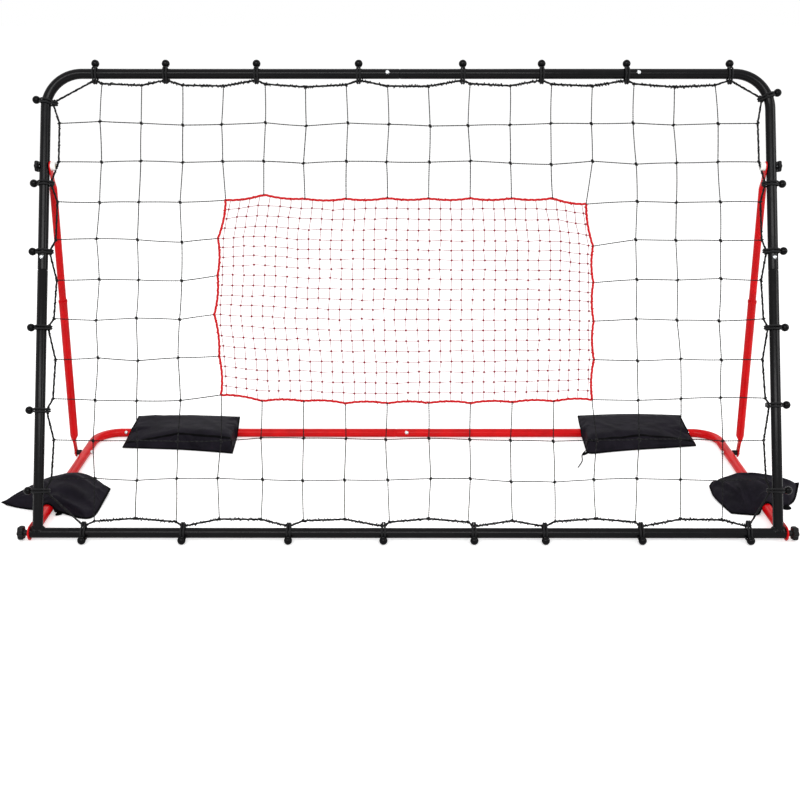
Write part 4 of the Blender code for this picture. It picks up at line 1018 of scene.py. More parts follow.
def star_head(start, out, radius, thickness, base):
    across = out.orthogonal().normalized()
    up = out.cross(across)
    steps = KNOB_LOBES * 20
    angles = math.tau * np.arange(steps) / steps
    wave = np.cos(KNOB_LOBES * angles)
    # (share of the thickness, share of the radius, share of the lobes left)
    profile = [
        (0.00, 0.40, 0.0), (0.00, 0.62, 0.6), (0.02, 0.84, 1.0), (0.08, 0.93, 1.0), (0.20, 0.985, 1.0),
        (0.36, 1.0, 1.0), (0.64, 1.0, 1.0), (0.80, 0.985, 1.0), (0.92, 0.94, 1.0), (0.985, 0.86, 1.0),
        (1.00, 0.76, 0.8), (0.985, 0.66, 0.5), (0.93, 0.60, 0.2), (0.90, 0.52, 0.0), (0.90, 0.34, 0.0),
        (0.93, 0.31, 0.0), (0.97, 0.28, 0.0), (0.985, 0.22, 0.0), (0.99, 0.02, 0.0),
    ]
    spokes = np.cos(angles)[:, None] * np.array(across) + np.sin(angles)[:, None] * np.array(up)
    rings = []
    for high, wide, lobes in profile:
        middle = np.array(start + out * (base + thickness * high))
        reach = radius * wide * (1 - KNOB_LOBE_DEPTH * lobes + KNOB_LOBE_DEPTH * lobes * wave)
        rings.append(middle + reach[:, None] * spokes)
    return skin(rings)


def star_knob(start, out, radius, thickness, hub):
    collar = [
        (-0.0001, KNOB_HUB_R * 0.94), (0.0006, KNOB_HUB_R), (max(0.001, hub - 0.0012), KNOB_HUB_R * 1.05),
        (hub + thickness * 0.2, KNOB_HUB_R * 1.12),
    ]
    return skins_mesh("knob", [star_head(start, out, radius, thickness, hub), spun(collar, start, out)])


def thread(start, along, length, radius=BOLT_R, pitch=0.00125):
    """A stud whose thread is a fine row of ridges."""
    profile = [(0.0, radius * 0.8)]
    turns = int(length / pitch)
    for k in range(turns):
        profile += [(pitch * (k + 0.25), radius), (pitch * (k + 0.75), radius * 0.86)]
    profile.append((length, radius * 0.86))
    return spun(profile, start, along, 20)


for side, name in ((-1, "left"), (1, "right")):
    out = X * side
    face = in_frame(side * TAB_FACE, 0)
    add_piece(
        f"corner_star_{name}", star_knob(face, out, *CORNER_KNOB), knob_nylon,
        f"corner_knob_{name}", [f"corner_knob_{name}"],
    )
    stud = skins_mesh("stud", [thread(face - out * STUD_REACH, out, STUD_REACH + 0.0005)])
    add_piece(f"corner_stud_{name}", stud, zinc, f"corner_knob_{name}")
    washer = skins_mesh("washer", [spun(WASHER_SECTION, face, out)])
    add_piece(f"corner_washer_{name}", washer, yellow_zinc, f"corner_knob_{name}")
    high = in_frame(side * (UPRIGHT_X + TUBE_R + FIT_GAP), STRUT_BOLT_S)
    add_piece(
        f"strut_star_{name}", star_knob(high, out, *STRUT_KNOB), knob_nylon,
        f"strut_knob_{name}", [f"strut_knob_{name}"],
    )
    inner = 2 * TUBE_R + FIT_GAP
    stud = skins_mesh("stud", [thread(high - out * inner, out, inner)])
    add_piece(f"strut_stud_{name}", stud, zinc, f"strut_knob_{name}")
print("knobs on studs of", BOLT_R * 2000, "mm")


# %% [markdown]
# Strut bolts and welded nuts
# A bolt goes through the arm, a black spacer and the strut's pressed foot, with a hexagon nut
# outside. The nut of the upper knob is welded inside the strut's head, and a white bushing sits
# round it. A hexagon with a turned chamfer is a six-sided prism whose ends shrink to a circle.

# %% Bolts
HEAD_R = 0.0065
HEAD_LENGTH = 0.005
# Steps of distance and radius round the white bushing, from its bore over its rim into its mouth
BUSHING_SECTION = (
    (0.0, 0.0074), (0.0, 0.0102), (0.0008, 0.0110), (0.0108, 0.0110), (0.0120, 0.0100), (0.0120, 0.0060),
    (0.0070, 0.0055),
)


def hexagon(start, along, thickness, across_corners):
    ahead = along.normalized()
    side = ahead.orthogonal().normalized()
    up = ahead.cross(side)
    rings = []
    for distance, shrink, round_share in (
        (0.0, 0.86, 1.0), (thickness * 0.14, 1.0, 0.0), (thickness * 0.86, 1.0, 0.0), (thickness, 0.86, 1.0)
    ):
        ring = []
        for k in range(36):
            angle = math.tau * k / 36
            flat = math.cos(math.pi / 6) / math.cos((angle % (math.pi / 3)) - math.pi / 6)
            reach = across_corners * shrink * (flat + (1 - flat) * round_share)
            spoke = side * math.cos(angle) + up * math.sin(angle)
            ring.append(tuple(start + ahead * distance + spoke * reach))
        rings.append(ring)
    return skin(rings)


for side, name in ((-1, "left"), (1, "right")):
    out = X * side
    arm_face = TUBE_R + FIT_GAP
    tab = arm_face + SPACER_LENGTH + FIT_GAP
    middle = on_base(side * ARM_X, STRUT_PIVOT_Y, arm_height(STRUT_PIVOT_Y))
    shank_end = tab + TAB_THICKNESS + HEAD_LENGTH + 0.0006
    bolt = [
        hexagon(middle - out * (arm_face + HEAD_LENGTH), out, HEAD_LENGTH, HEAD_R),
        thread(middle - out * arm_face, out, arm_face + shank_end - 0.0012),
        hexagon(middle + out * (tab + TAB_THICKNESS + FIT_GAP), out, HEAD_LENGTH - FIT_GAP, HEAD_R),
    ]
    add_piece(
        f"strut_bolt_{name}_plated", skins_mesh("bolt", bolt), zinc, "base",
        [f"strut_bolt_{name}"],
    )
    spacer = spun(
        [(0.0002, 0.0046), (0.0002, 0.0068), (0.0008, 0.0075), (SPACER_LENGTH - 0.0008, 0.0075),
         (SPACER_LENGTH - 0.0002, 0.0068), (SPACER_LENGTH - 0.0002, 0.0046)],
        middle + out * arm_face, out,
    )
    add_piece(f"strut_spacer_{name}", skins_mesh("spacer", [spacer]), knob_nylon, "base")
    head = on_strut(side, STRUT_LENGTH) - out * (TAB_THICKNESS / 2 - 0.0002)
    nut = [hexagon(head, -out, 0.0050, 0.0070), spun([(0.0051, 0.0040), (0.0104, 0.0040)], head, -out, 20)]
    add_piece(f"strut_nut_{name}", skins_mesh("nut", nut), yellow_zinc, f"strut_{name}")
    bushing = skins_mesh("bushing", [spun(BUSHING_SECTION, head, -out, 40)])
    add_piece(f"strut_bushing_{name}", bushing, white_nylon, f"strut_{name}")
print("bolt heads", HEAD_R * 2000, "mm across corners")

# %% [markdown]
# Net layout
# The net's border is pulled out to 28 hooks, and every free knot settles where the pulls of its
# neighbours balance. The border's own knots are also held near the places where they were tied.
# With straight strands of even tension that is one set of linear equations, solved here once,
# which gives the slight scallops and slants of the real net. The target panel, laced into a
# window of it, draws the knots round that window out of line.

# %% Net layout
HOOK_INSET = TUBE_R + 0.0034
# Shares of each side of the net, from its left or lower end
HOOKS = {
    "bottom": (0.0453, 0.1846, 0.3331, 0.4660, 0.5927, 0.6922, 0.8269, 0.9777),
    "right": (0.0691, 0.2618, 0.4379, 0.6131, 0.7680, 0.9718),
    "top": (0.0505, 0.1518, 0.2824, 0.4292, 0.5789, 0.6922, 0.8143, 0.9622),
    "left": (0.0673, 0.2489, 0.4370, 0.6113, 0.7689, 0.9589),
}
NET_COLUMNS, NET_ROWS = 17, 11
NET_SIDE_GAP, NET_TOP_GAP = 0.0338, 0.0264
NET_HALF_WIDTH = UPRIGHT_X - NET_SIDE_GAP
NET_BOTTOM_S = 0.029
NET_HEIGHT = FRAME_HEIGHT - NET_BOTTOM_S - NET_TOP_GAP
BORDER_PULL = 2.8
BORDER_HOLD = 90.0
RIGHT_SHIFT = 0.007
TARGET_LEFT, TARGET_RIGHT = 4, 13
TARGET_LOW, TARGET_HIGH = 3, 8


def tube_station(side, along):
    """(x, s) of the tube's middle, and its outward and lengthwise directions, at a hook."""
    if side == "top":
        return np.array([along, FRAME_HEIGHT]), np.array([0.0, 1.0])
    if side == "bottom":
        return np.array([along, 0.0]), np.array([0.0, -1.0])
    sign = -1 if side == "left" else 1
    tangent = FRAME_HEIGHT - FRAME_BEND_R
    if along <= tangent:
        return np.array([sign * UPRIGHT_X, along]), np.array([float(sign), 0.0])
    turn = math.asin((along - tangent) / FRAME_BEND_R)
    out = np.array([sign * math.cos(turn), math.sin(turn)])
    return np.array([sign * (UPRIGHT_X - FRAME_BEND_R), tangent]) + out * FRAME_BEND_R, out


def net_layout():
    columns, rows = NET_COLUMNS + 1, NET_ROWS + 1
    flat = [
        ((2 * i / NET_COLUMNS - 1) * NET_HALF_WIDTH, NET_BOTTOM_S + NET_HEIGHT * j / NET_ROWS)
        for j in range(rows)
        for i in range(columns)
    ]
    knot = {(i, j): j * columns + i for j in range(rows) for i in range(columns)}
    edges = {
        "bottom": [knot[i, 0] for i in range(columns)],
        "right": [knot[columns - 1, j] for j in range(rows)],
        "top": [knot[i, rows - 1] for i in range(columns)],
        "left": [knot[0, j] for j in range(rows)],
    }
    fixed, border, hooks = {}, [], []
    for side, shares in HOOKS.items():
        axis = 0 if side in ("bottom", "top") else 1
        chain = [(flat[n][axis], n) for n in edges[side]]
        for share in shares:
            if axis == 0:
                along = (2 * share - 1) * NET_HALF_WIDTH
            else:
                along = NET_BOTTOM_S + share * NET_HEIGHT
            middle, out = tube_station(side, along)
            hook = middle - out * HOOK_INSET
            fixed[len(flat)] = hook
            hooks.append((side, middle, out, len(flat)))
            chain.append((hook[axis], len(flat)))
            flat.append(tuple(hook))
        chain.sort()
        border += [(a[1], b[1]) for a, b in zip(chain, chain[1:])]
    strands = [(knot[i, j], knot[i + 1, j]) for j in range(1, rows - 1) for i in range(columns - 1)]
    strands += [(knot[i, j], knot[i, j + 1]) for i in range(1, columns - 1) for j in range(rows - 1)]
    points = np.array(flat)
    pull = np.zeros((len(flat), len(flat)))
    for links, tension in ((strands, 1.0), (border, BORDER_PULL)):
        for a, b in links:
            share = tension / max(0.02, float(np.hypot(*(points[a] - points[b]))))
            pull[a, b] += share
            pull[b, a] += share
    laplace = np.diag(pull.sum(axis=1)) - pull
    rest = points.copy()
    rest[edges["right"], 0] += RIGHT_SHIFT
    border_knots = sorted({n for chain in edges.values() for n in chain[1:-1]})
    hold = np.zeros(len(flat))
    hold[border_knots] = BORDER_HOLD
    held = list(fixed)
    free = [n for n in range(len(flat)) if n not in fixed]
    points[held] = [fixed[n] for n in held]
    stiff = (laplace + np.diag(hold))[np.ix_(free, free)]
    pulled = hold[free, None] * rest[free] - laplace[np.ix_(free, held)] @ points[held]
    points[free] = np.linalg.solve(stiff, pulled)
    return points, knot, strands, border, hooks


def panel_ring(knot):
    """Each side of the window in the net: its knots in order, and the way out of it."""
    across = range(TARGET_LEFT, TARGET_RIGHT + 1)
    upwards = range(TARGET_LOW, TARGET_HIGH + 1)
    return {
        "bottom": ([knot[i, TARGET_LOW] for i in across], np.array([0.0, -1.0])),
        "top": ([knot[i, TARGET_HIGH] for i in across], np.array([0.0, 1.0])),
        "left": ([knot[TARGET_LEFT, j] for j in upwards], np.array([-1.0, 0.0])),
        "right": ([knot[TARGET_RIGHT, j] for j in upwards], np.array([1.0, 0.0])),
    }


# How far the panel draws each black knot outwards, and lifts those at its sides. Each row starts
# at the left or lower end.
PANEL_PULL = {
    "bottom": (0.0, 0.004, 0.004, 0.009, 0.009, 0.008, 0.008, 0.006, 0.004, 0.0),
    "top": (0.0, 0.018, 0.008, 0.008, 0.010, 0.009, 0.009, 0.009, 0.009, 0.0),
    "left": (-0.002, 0.004, 0.017, 0.010, 0.010, -0.008),
    "right": (-0.009, -0.004, -0.004, -0.004, -0.004, -0.020),
}
PANEL_RISE = {
    "left": (0.011, 0.008, 0.013, 0.012, 0.006, 0.004),
    "right": (0.0, 0.0, -0.003, -0.006, -0.013, -0.006),
}
net_points, net_knot, net_strands, net_border, net_hooks = net_layout()
target_ring = panel_ring(net_knot)
for side, (chain, way_out) in target_ring.items():
    for n, pull in zip(chain, PANEL_PULL[side]):
        net_points[n] = net_points[n] + way_out * pull
    for n, rise in zip(chain, PANEL_RISE.get(side, ())):
        net_points[n] = net_points[n] + (0.0, rise)
print("net:", len(net_knot), "knots,", len(net_strands), "strands,", len(net_hooks), "hooks")

# %% [markdown]
# Ball bungees
# Each loop is a short length of braided elastic, knotted inside a glossy ball. It goes round the
# tube and through the net's border rope. The loop is bent wire-like from arcs and straight runs
# and then smoothed, and the ball shows its mould's parting line and the hole the loop comes from.

# %% Bungees
BALL_R = 0.0100
BALL_REACH = 0.0260
ELASTIC_R = 0.0024
STRANDS_CLOSE, STRANDS_APART = 0.0023, 0.0037
LOOP_WRAP = 0.0162
BORDER_R = 0.0030
LOOP_SIDES = 10
MOUTH_R = 0.0184


def cord_rings(line, radius, sides, flat_normal, closed=False, section=None, turn=None):
    """Rings square to a line that stays near one plane. A section is (sides, 2) unit points, and
    turn gives its twist at each point."""
    line = np.asarray(line, dtype=float)
    if closed:
        ahead = np.roll(line, -1, axis=0) - np.roll(line, 1, axis=0)
    else:
        ahead = np.gradient(line, axis=0)
    ahead /= np.linalg.norm(ahead, axis=1)[:, None]
    normal = np.array(flat_normal, dtype=float)
    side = np.cross(ahead, normal)
    side /= np.linalg.norm(side, axis=1)[:, None]
    up = np.cross(side, ahead)
    unit = circle(sides) if section is None else section
    radius = np.broadcast_to(np.asarray(radius, dtype=float), (len(line),))
    angle = np.zeros(len(line)) if turn is None else np.asarray(turn)
    cos, sin = np.cos(angle)[:, None, None], np.sin(angle)[:, None, None]
    u = unit[None, :, :1] * cos - unit[None, :, 1:] * sin
    v = unit[None, :, :1] * sin + unit[None, :, 1:] * cos
    return line[:, None, :] + radius[:, None, None] * (u * side[:, None, :] + v * up[:, None, :])


def loop_reach(hook_number, out):
    """How far in a loop goes round the border rope: a steeper slant of the rope needs more."""
    hook = net_points[hook_number]
    lengthwise = np.array([-out[1], out[0]])
    deepest = 0.0
    for a, b in net_border:
        if hook_number in (a, b):
            run = net_points[b if a == hook_number else a] - hook
            slant = math.atan2(-run @ out, abs(run @ lengthwise))
            depth = (ELASTIC_R + FIT_GAP) * math.tan(slant) + BORDER_R / math.cos(slant)
            deepest = max(deepest, depth)
    return HOOK_INSET + deepest + FIT_GAP + ELASTIC_R + 0.0006


def bungee(side, middle, out, hook_number):
    sink = math.asin((PIVOT_HEIGHT - BALL_R - FIT_GAP) / BALL_REACH)
    forward = math.pi / 2 - LEAN - sink if side == "bottom" else 0.0
    reach = loop_reach(hook_number, out)
    origin = in_frame(*middle)
    outwards = X * out[0] + FRAME_UP * out[1]
    line = []
    behind = math.radians(145)
    for start, end in ((-forward, behind), (math.tau - behind, math.tau - forward)):
        steps = 9
        arc = []
        for k in range(steps + 1):
            angle = start + (end - start) * k / steps
            arc.append((LOOP_WRAP * math.sin(angle), LOOP_WRAP * math.cos(angle)))
        if start == -forward:
            arc[0] = (MOUTH_R * math.sin(start + 0.05), MOUTH_R * math.cos(start + 0.05))
            foot = ((0.0046, 0.0020), (0.0019, 0.0001), (-0.0019, 0.0001), (-0.0046, 0.0020))
            line += arc + [(behind_tube, up - reach) for behind_tube, up in foot]
        else:
            arc[-1] = (MOUTH_R * math.sin(end - 0.05), MOUTH_R * math.cos(end - 0.05))
            line += arc
    flat = smooth_line(line, 3)
    room = np.array([list(origin + FRAME_BACK * a + outwards * b) for a, b in flat])
    lengthwise = np.array(outwards.cross(FRAME_BACK))
    spread = np.abs(np.sin(np.linspace(0, math.tau, len(room))))
    apart = STRANDS_CLOSE + (STRANDS_APART - STRANDS_CLOSE) * spread
    loop = [
        skin(cord_rings(room + np.outer(apart * way, lengthwise), ELASTIC_R, LOOP_SIDES, lengthwise))
        for way in (-1, 1)
    ]
    ball_out = outwards * math.cos(forward) - FRAME_BACK * math.sin(forward)
    profile = [(0.0002, 0.0022), (0.0016, 0.0025), (0.0004, 0.0031)]
    for step in range(2, 25):
        angle = math.pi * step / 25
        if step == 12:
            parting_line = ((0.985, 1.0), (0.992, 1.012), (1.008, 1.012), (1.015, 1.0))
            profile += [(BALL_R * along, BALL_R * wide) for along, wide in parting_line]
        elif step != 13:
            profile.append((BALL_R * (1 - math.cos(angle)), BALL_R * math.sin(angle)))
    profile.append((BALL_R * 2, 0.0004))
    ball = spun(profile, origin + ball_out * (BALL_REACH - BALL_R), ball_out, 28)
    return loop, ball


places_so_far = {}
for side, middle, out, number in net_hooks:
    places_so_far[side] = places_so_far.get(side, 0) + 1
    name = f"{side}_{places_so_far[side]}"
    loop, ball = bungee(side, middle, out, number)
    add_piece(
        f"elastic_{name}", skins_mesh("loop", loop), elastic_braid, "front_frame",
        [f"bungee_{name}"],
    )
    ball_mesh = skins_mesh("ball", [ball])
    add_piece(f"ball_{name}", ball_mesh, ball_plastic, "front_frame", sharp=50)
print("bungees:", places_so_far)

# %% [markdown]
# Black net
# The twine is two plies laid together, so its section is a figure of eight that turns as it goes.
# A mesh of that section twists by itself and needs no texture for its shape. Where strands cross,
# a hard overhand knot sits. The border is a thicker three-strand rope with the net's outer loops
# lashed round it, which makes its edge uneven.

# %% Twine, knots and rope
TWINE_R = 0.00165
KNOT_R = 0.0042
KNOT_WANDER = 0.0048
TWINE_LAY = 0.011
ROPE_R, ROPE_STEP, ROPE_LAY = 0.0026, 0.0024, 0.016
BAND_STEPS = 14
PANEL_KNOT_SHARE = 0.72
draws = np.random.default_rng(7)


def plied(plies, sides, depth):
    """A section of several plies side by side."""
    angles = math.tau * (np.arange(sides) + 0.5) / sides
    reach = 1 - depth / 2 + depth / 2 * np.cos(plies * angles)
    return np.stack([np.cos(angles) * reach, np.sin(angles) * reach], axis=1)


TWO_PLY = plied(2, 6, 0.42)
THREE_PLY = plied(3, 12, 0.30)


def net_room(points):
    points = np.asarray(points)
    middle = np.array(in_frame(0, 0))
    back = points[:, 2:3] if points.shape[1] > 2 else np.zeros((len(points), 1))
    up, behind = np.array(FRAME_UP), np.array(FRAME_BACK)
    return middle + points[:, :1] * np.array(X) + points[:, 1:2] * up + back * behind


def twine_strand(a, b, radius, lay, bow=0.0010):
    """One strand from knot to knot, with a little waver of its own."""
    length = float(np.hypot(*(b - a)))
    steps = max(3, int(length / lay * 5))
    share = np.linspace(0, 1, steps + 1)
    across = np.array([-(b - a)[1], (b - a)[0]]) / length
    arch = 4 * share * (1 - share)
    sway, lift = draws.uniform(-bow, bow, 2)
    flat = a + (b - a) * share[:, None] + across * (arch * sway)[:, None]
    line = net_room(np.concatenate([flat, (arch * lift)[:, None]], axis=1))
    turn = share * length / lay * math.tau + draws.uniform(0, math.tau)
    return skin(cord_rings(line, radius, 6, FRAME_BACK, section=TWO_PLY, turn=turn))


def knot_lump(place, radius, along, squash=0.8):
    """A tight knot: a squat lump with a band of twine pulled round its waist."""
    ahead = (X * along[0] + FRAME_UP * along[1]).normalized()
    middle = Vector(net_room([place])[0])
    lump = []
    for k in range(9):
        angle = math.pi * k / 8
        lump.append((radius * (1 - math.cos(angle)), radius * math.sin(angle) * squash + 0.00005))
    slope = 0.5 * draws.choice([-1, 1])
    across = ahead.cross(FRAME_BACK)
    band = []
    for angle in math.tau * np.arange(BAND_STEPS) / BAND_STEPS:
        spoke = across * math.cos(angle) + FRAME_BACK * math.sin(angle)
        slant = ahead * (radius * slope * math.cos(angle))
        band.append(np.array(middle + spoke * (radius * 0.88) + slant))
    unit = circle(5) * radius * 0.36
    rings = []
    for k, spot in enumerate(band):
        radial = spot - np.array(middle)
        radial /= np.linalg.norm(radial)
        forward = band[(k + 1) % BAND_STEPS] - band[k - 1]
        forward /= np.linalg.norm(forward)
        side = np.cross(forward, radial)
        rings.append(spot + unit[:, :1] * radial + unit[:, 1:] * side)
    return [spun(lump, middle - ahead * radius, ahead, 10), skin(rings, closed=True)]


def in_window(n):
    i, j = n % (NET_COLUMNS + 1), n // (NET_COLUMNS + 1)
    return TARGET_LEFT <= i <= TARGET_RIGHT and TARGET_LOW <= j <= TARGET_HIGH


for n in net_knot.values():
    inner = 0 < n % (NET_COLUMNS + 1) < NET_COLUMNS and 0 < n // (NET_COLUMNS + 1) < NET_ROWS
    if inner and not in_window(n):
        net_points[n] += draws.uniform(-KNOT_WANDER, KNOT_WANDER, 2)
black_skins = []
for a, b in net_strands:
    if in_window(a) and in_window(b):
        continue
    black_skins.append(twine_strand(net_points[a], net_points[b], TWINE_R, TWINE_LAY))
for (i, j), n in net_knot.items():
    corner = i in (0, NET_COLUMNS) and j in (0, NET_ROWS)
    inside = TARGET_LEFT < i < TARGET_RIGHT and TARGET_LOW < j < TARGET_HIGH
    if inside or corner:
        continue
    size = KNOT_R * (PANEL_KNOT_SHARE if in_window(n) else 1.0)
    black_skins += knot_lump(net_points[n], size, (0.3, 1.0))
chain = {}
for a, b in net_border:
    chain.setdefault(a, []).append(b)
    chain.setdefault(b, []).append(a)
walk = [net_border[0][0]]
while len(walk) < len(chain):
    ahead = [n for n in chain[walk[-1]] if n not in walk[-2:]]
    walk.append(ahead[0])
print("border rope passes", len(walk), "points")
rope_line = []
for k, n in enumerate(walk):
    a, b = net_points[n], net_points[walk[(k + 1) % len(walk)]]
    steps = max(2, int(float(np.hypot(*(b - a))) / ROPE_STEP))
    for step in range(steps):
        rope_line.append(a + (b - a) * step / steps)
rope_line = np.array(rope_line)
for _ in range(2):
    rope_line = (np.roll(rope_line, 1, axis=0) + 2 * rope_line + np.roll(rope_line, -1, axis=0)) / 4
hops = np.linalg.norm(np.roll(rope_line, -1, axis=0) - rope_line, axis=1)
rope_along = np.concatenate([[0.0], np.cumsum(hops)[:-1]])
rope_length = float(hops.sum())
rope_turns = round(rope_length / ROPE_LAY)
swell = 1 + 0.16 * np.sin(rope_along / 0.0207 * math.tau / 2) ** 6
swell += 0.05 * np.sin(rope_along / 0.037 * math.tau)
border_rings = cord_rings(
    net_room(rope_line), ROPE_R * swell, 12, FRAME_BACK, closed=True, section=THREE_PLY,
    turn=rope_along / rope_length * rope_turns * math.tau / 3,
)
black_skins.append(skin(border_rings, closed=True))
for k in range(0, len(rope_line), 3):
    ahead = rope_line[(k + 1) % len(rope_line)] - rope_line[k - 1]
    level = abs(ahead[0]) > 3.0 * abs(ahead[1])
    if draws.random() < (0.85 if level else 0.20):
        off = draws.uniform(-0.0012, 0.0012, 2) * (1.0 if level else 0.3)
        size = draws.uniform(0.0030, 0.0042) if level else 0.0030
        black_skins += knot_lump(rope_line[k] + off, size, tuple(ahead))[1:]
for _, _, out, number in net_hooks:
    lengthwise = np.array([-out[1], out[0]])
    for shift in (-0.0058, -0.0020, 0.0024, 0.0062):
        spot = net_points[number] + lengthwise * (shift + draws.uniform(-0.001, 0.001))
        spot = spot - out * (0.0010 + abs(shift) * 0.3 + draws.uniform(0.0, 0.0012))
        size = draws.uniform(0.0027, 0.0035)
        black_skins += knot_lump(spot, size, tuple(lengthwise + out * draws.uniform(-1, 1)))
add_piece(
    "rebound_net_twine", skins_mesh("twine", black_skins), black_twine, "front_frame",
    ["rebound_net"], 60,
)
print("border rope", round(rope_length, 2), "m")

# %% [markdown]
# Target panel
# The panel is a finer net of crimson twine in meshes of 26 by 25 mm. Its edge is a thicker scarlet
# rope, laced to the black knots all round and drawn in a little between them. The meshes are too
# small for a figure-of-eight section to show, so the strands are plain.

# %% Target panel
CELLS_X, CELLS_S = 35, 20
FINE_R = 0.00072
FINE_KNOT_R = 0.0028
SCALLOP = 0.0042
PANEL_ROPE_R = 0.0033
PANEL_ROPE_STEPS = 60
PANEL_ROPE_LAY = 0.015
FINE_WANDER = 0.0009
column_shares = [0.0, *((k + 0.5) / CELLS_X for k in range(CELLS_X)), 1.0]
row_shares = [k / CELLS_S for k in range(CELLS_S + 1)]


def on_side(side, share):
    """A place on one side of the panel, straight from black knot to black knot."""
    chain = net_points[target_ring[side][0]]
    where = share * (len(chain) - 1)
    return np.array([np.interp(where, range(len(chain)), chain[:, axis]) for axis in (0, 1)])


def on_rope(side, share):
    """The same on the rope, which the fine mesh draws inwards between the black knots."""
    chain, way_out = target_ring[side]
    between = abs(math.sin(math.pi * share * (len(chain) - 1)))
    return on_side(side, share) - way_out * SCALLOP * between ** 0.9


def on_panel(u, v):
    corners = [on_side(side, share) for side, share in (("bottom", 0), ("bottom", 1), ("top", 0), ("top", 1))]
    low = corners[0] * (1 - u) + corners[1] * u
    high = corners[2] * (1 - u) + corners[3] * u
    ruled = on_side("bottom", u) * (1 - v) + on_side("top", u) * v
    ruled = ruled + on_side("left", v) * (1 - u) + on_side("right", v) * u
    return ruled - (low * (1 - v) + high * v)


fine = {}
last_i, last_j = len(column_shares) - 1, len(row_shares) - 1
for j, v in enumerate(row_shares):
    for i, u in enumerate(column_shares):
        if i in (0, last_i):
            fine[i, j] = on_rope("left" if i == 0 else "right", v)
        elif j in (0, last_j):
            fine[i, j] = on_rope("bottom" if j == 0 else "top", u)
        else:
            fine[i, j] = on_panel(u, v) + draws.normal(0, FINE_WANDER, 2)
red_skins = []
for (i, j), spot in fine.items():
    for step in ((1, 0), (0, 1)):
        other = fine.get((i + step[0], j + step[1]))
        edge = (step[0] and j in (0, last_j)) or (step[1] and i in (0, last_i))
        if other is None or edge:
            continue
        share = np.linspace(0, 1, 4)
        flat = spot + (other - spot) * share[:, None]
        lift = 4 * share * (1 - share) * draws.uniform(-0.0006, 0.0006)
        line = net_room(np.concatenate([flat, lift[:, None]], axis=1))
        red_skins.append(skin(cord_rings(line, FINE_R, 5, FRAME_BACK)))
    if 0 < i < last_i and 0 < j < last_j:
        middle = Vector(net_room([spot])[0])
        ahead = (X + FRAME_UP * draws.uniform(-0.6, 0.6)).normalized()
        profile = []
        for k in range(7):
            angle = math.pi * k / 6
            wide = FINE_KNOT_R * 0.92 * math.sin(angle) + 0.0001
            profile.append((FINE_KNOT_R * (1 - math.cos(angle)), wide))
        red_skins.append(spun(profile, middle - ahead * FINE_KNOT_R, ahead, 8))
edge_line = []
for side, forwards in (("bottom", True), ("right", True), ("top", False), ("left", False)):
    for k in range(PANEL_ROPE_STEPS):
        share = k / PANEL_ROPE_STEPS
        edge_line.append(on_rope(side, share if forwards else 1 - share))
edge_line = smooth_line(edge_line, 4, closed=True)
edge_hops = np.linalg.norm(np.roll(edge_line, -1, axis=0) - edge_line, axis=1)
edge_along = np.concatenate([[0.0], np.cumsum(edge_hops)[:-1]])
edge_length = float(edge_hops.sum())
edge_turn = edge_along / edge_length * round(edge_length / PANEL_ROPE_LAY) * math.tau / 3
edge_rings = cord_rings(
    net_room(edge_line), PANEL_ROPE_R, 12, FRAME_BACK, closed=True, section=THREE_PLY, turn=edge_turn
)
rope_skins = [skin(edge_rings, closed=True)]
for k in range(0, len(edge_line), 4):
    if draws.random() < 0.45:
        ahead = edge_line[(k + 1) % len(edge_line)] - edge_line[k - 1]
        off = draws.uniform(-0.0010, 0.0010, 2)
        rope_skins += knot_lump(edge_line[k] + off, draws.uniform(0.0028, 0.0038), tuple(ahead))[1:]
add_piece(
    "target_net_mesh", skins_mesh("target", red_skins), red_twine, "front_frame",
    ["target_net"], 60,
)
add_piece("target_net_rope", skins_mesh("rope", rope_skins), red_rope, "front_frame", sharp=60)
print("target rope", round(edge_length, 2), "m")

# %% [markdown]
# Weight bags
# Each bag is a cloth pouch filled with sand, laid over a base tube, with its edges sewn into a
# flat hem. A pouch is made the way it is sewn: an upper and a lower cloth share one outline, and
# the filling lifts the upper one. Its outline is four smooth edges, with a blend of them inside,
# and its height comes from a profile. The cloth is then blown up a little by simulation, which
# rounds it between its seams, and a groove is cut where the tube runs underneath.

# %% Pouches
POUCH_COLUMNS, POUCH_ROWS = 58, 40
GROOVE_R = 0.0132
HEM_WIDTH = 0.0042
SWELL_CAP = 0.006
# How steeply a pouch falls from a raised edge to the ground
UNDERSIDE_SLOPE = 2.0
# The depth and height that a profile's lengths are measured in
BAG_MEASURE = np.array([0.19, 0.045])
ROUND_POWER = 2.4
# How far the cloth stays above a tube, and how far to its sides
TUBE_COVER, COVER_REACH = 0.0042, 0.024
CRUMPLE = 0.0011


def at_shares(points, shares):
    """Places at shares of the length of a smooth curve through points."""
    line = smooth_line(points, 24)
    along = np.concatenate([[0.0], np.cumsum(np.linalg.norm(np.diff(line, axis=0), axis=1))])
    return np.stack([np.interp(shares * along[-1], along, column) for column in line.T], axis=1)


def spaced(points, count, ends=0.0):
    """So many steps along such a curve, closer together near its ends."""
    share = np.linspace(0, 1, count + 1)
    return at_shares(points, share - ends * np.sin(share * math.tau) / math.tau)


def patch(back, front, left, right):
    """A surface blended from four edges; left and right run from front to back."""
    u = np.linspace(0, 1, len(back))[:, None, None]
    v = np.linspace(0, 1, len(left))[None, :, None]
    ruled = (1 - v) * front[:, None] + v * back[:, None] + (1 - u) * left[None] + u * right[None]
    corners = (
        (1 - u) * (1 - v) * front[0] + u * (1 - v) * front[-1] + (1 - u) * v * back[0] + u * v * back[-1]
    )
    return ruled - corners


def normals_of(grid):
    across, ahead = np.gradient(grid, axis=0), np.gradient(grid, axis=1)
    normal = np.cross(across, ahead)
    return normal / (np.linalg.norm(normal, axis=2)[:, :, None] + 1e-12)


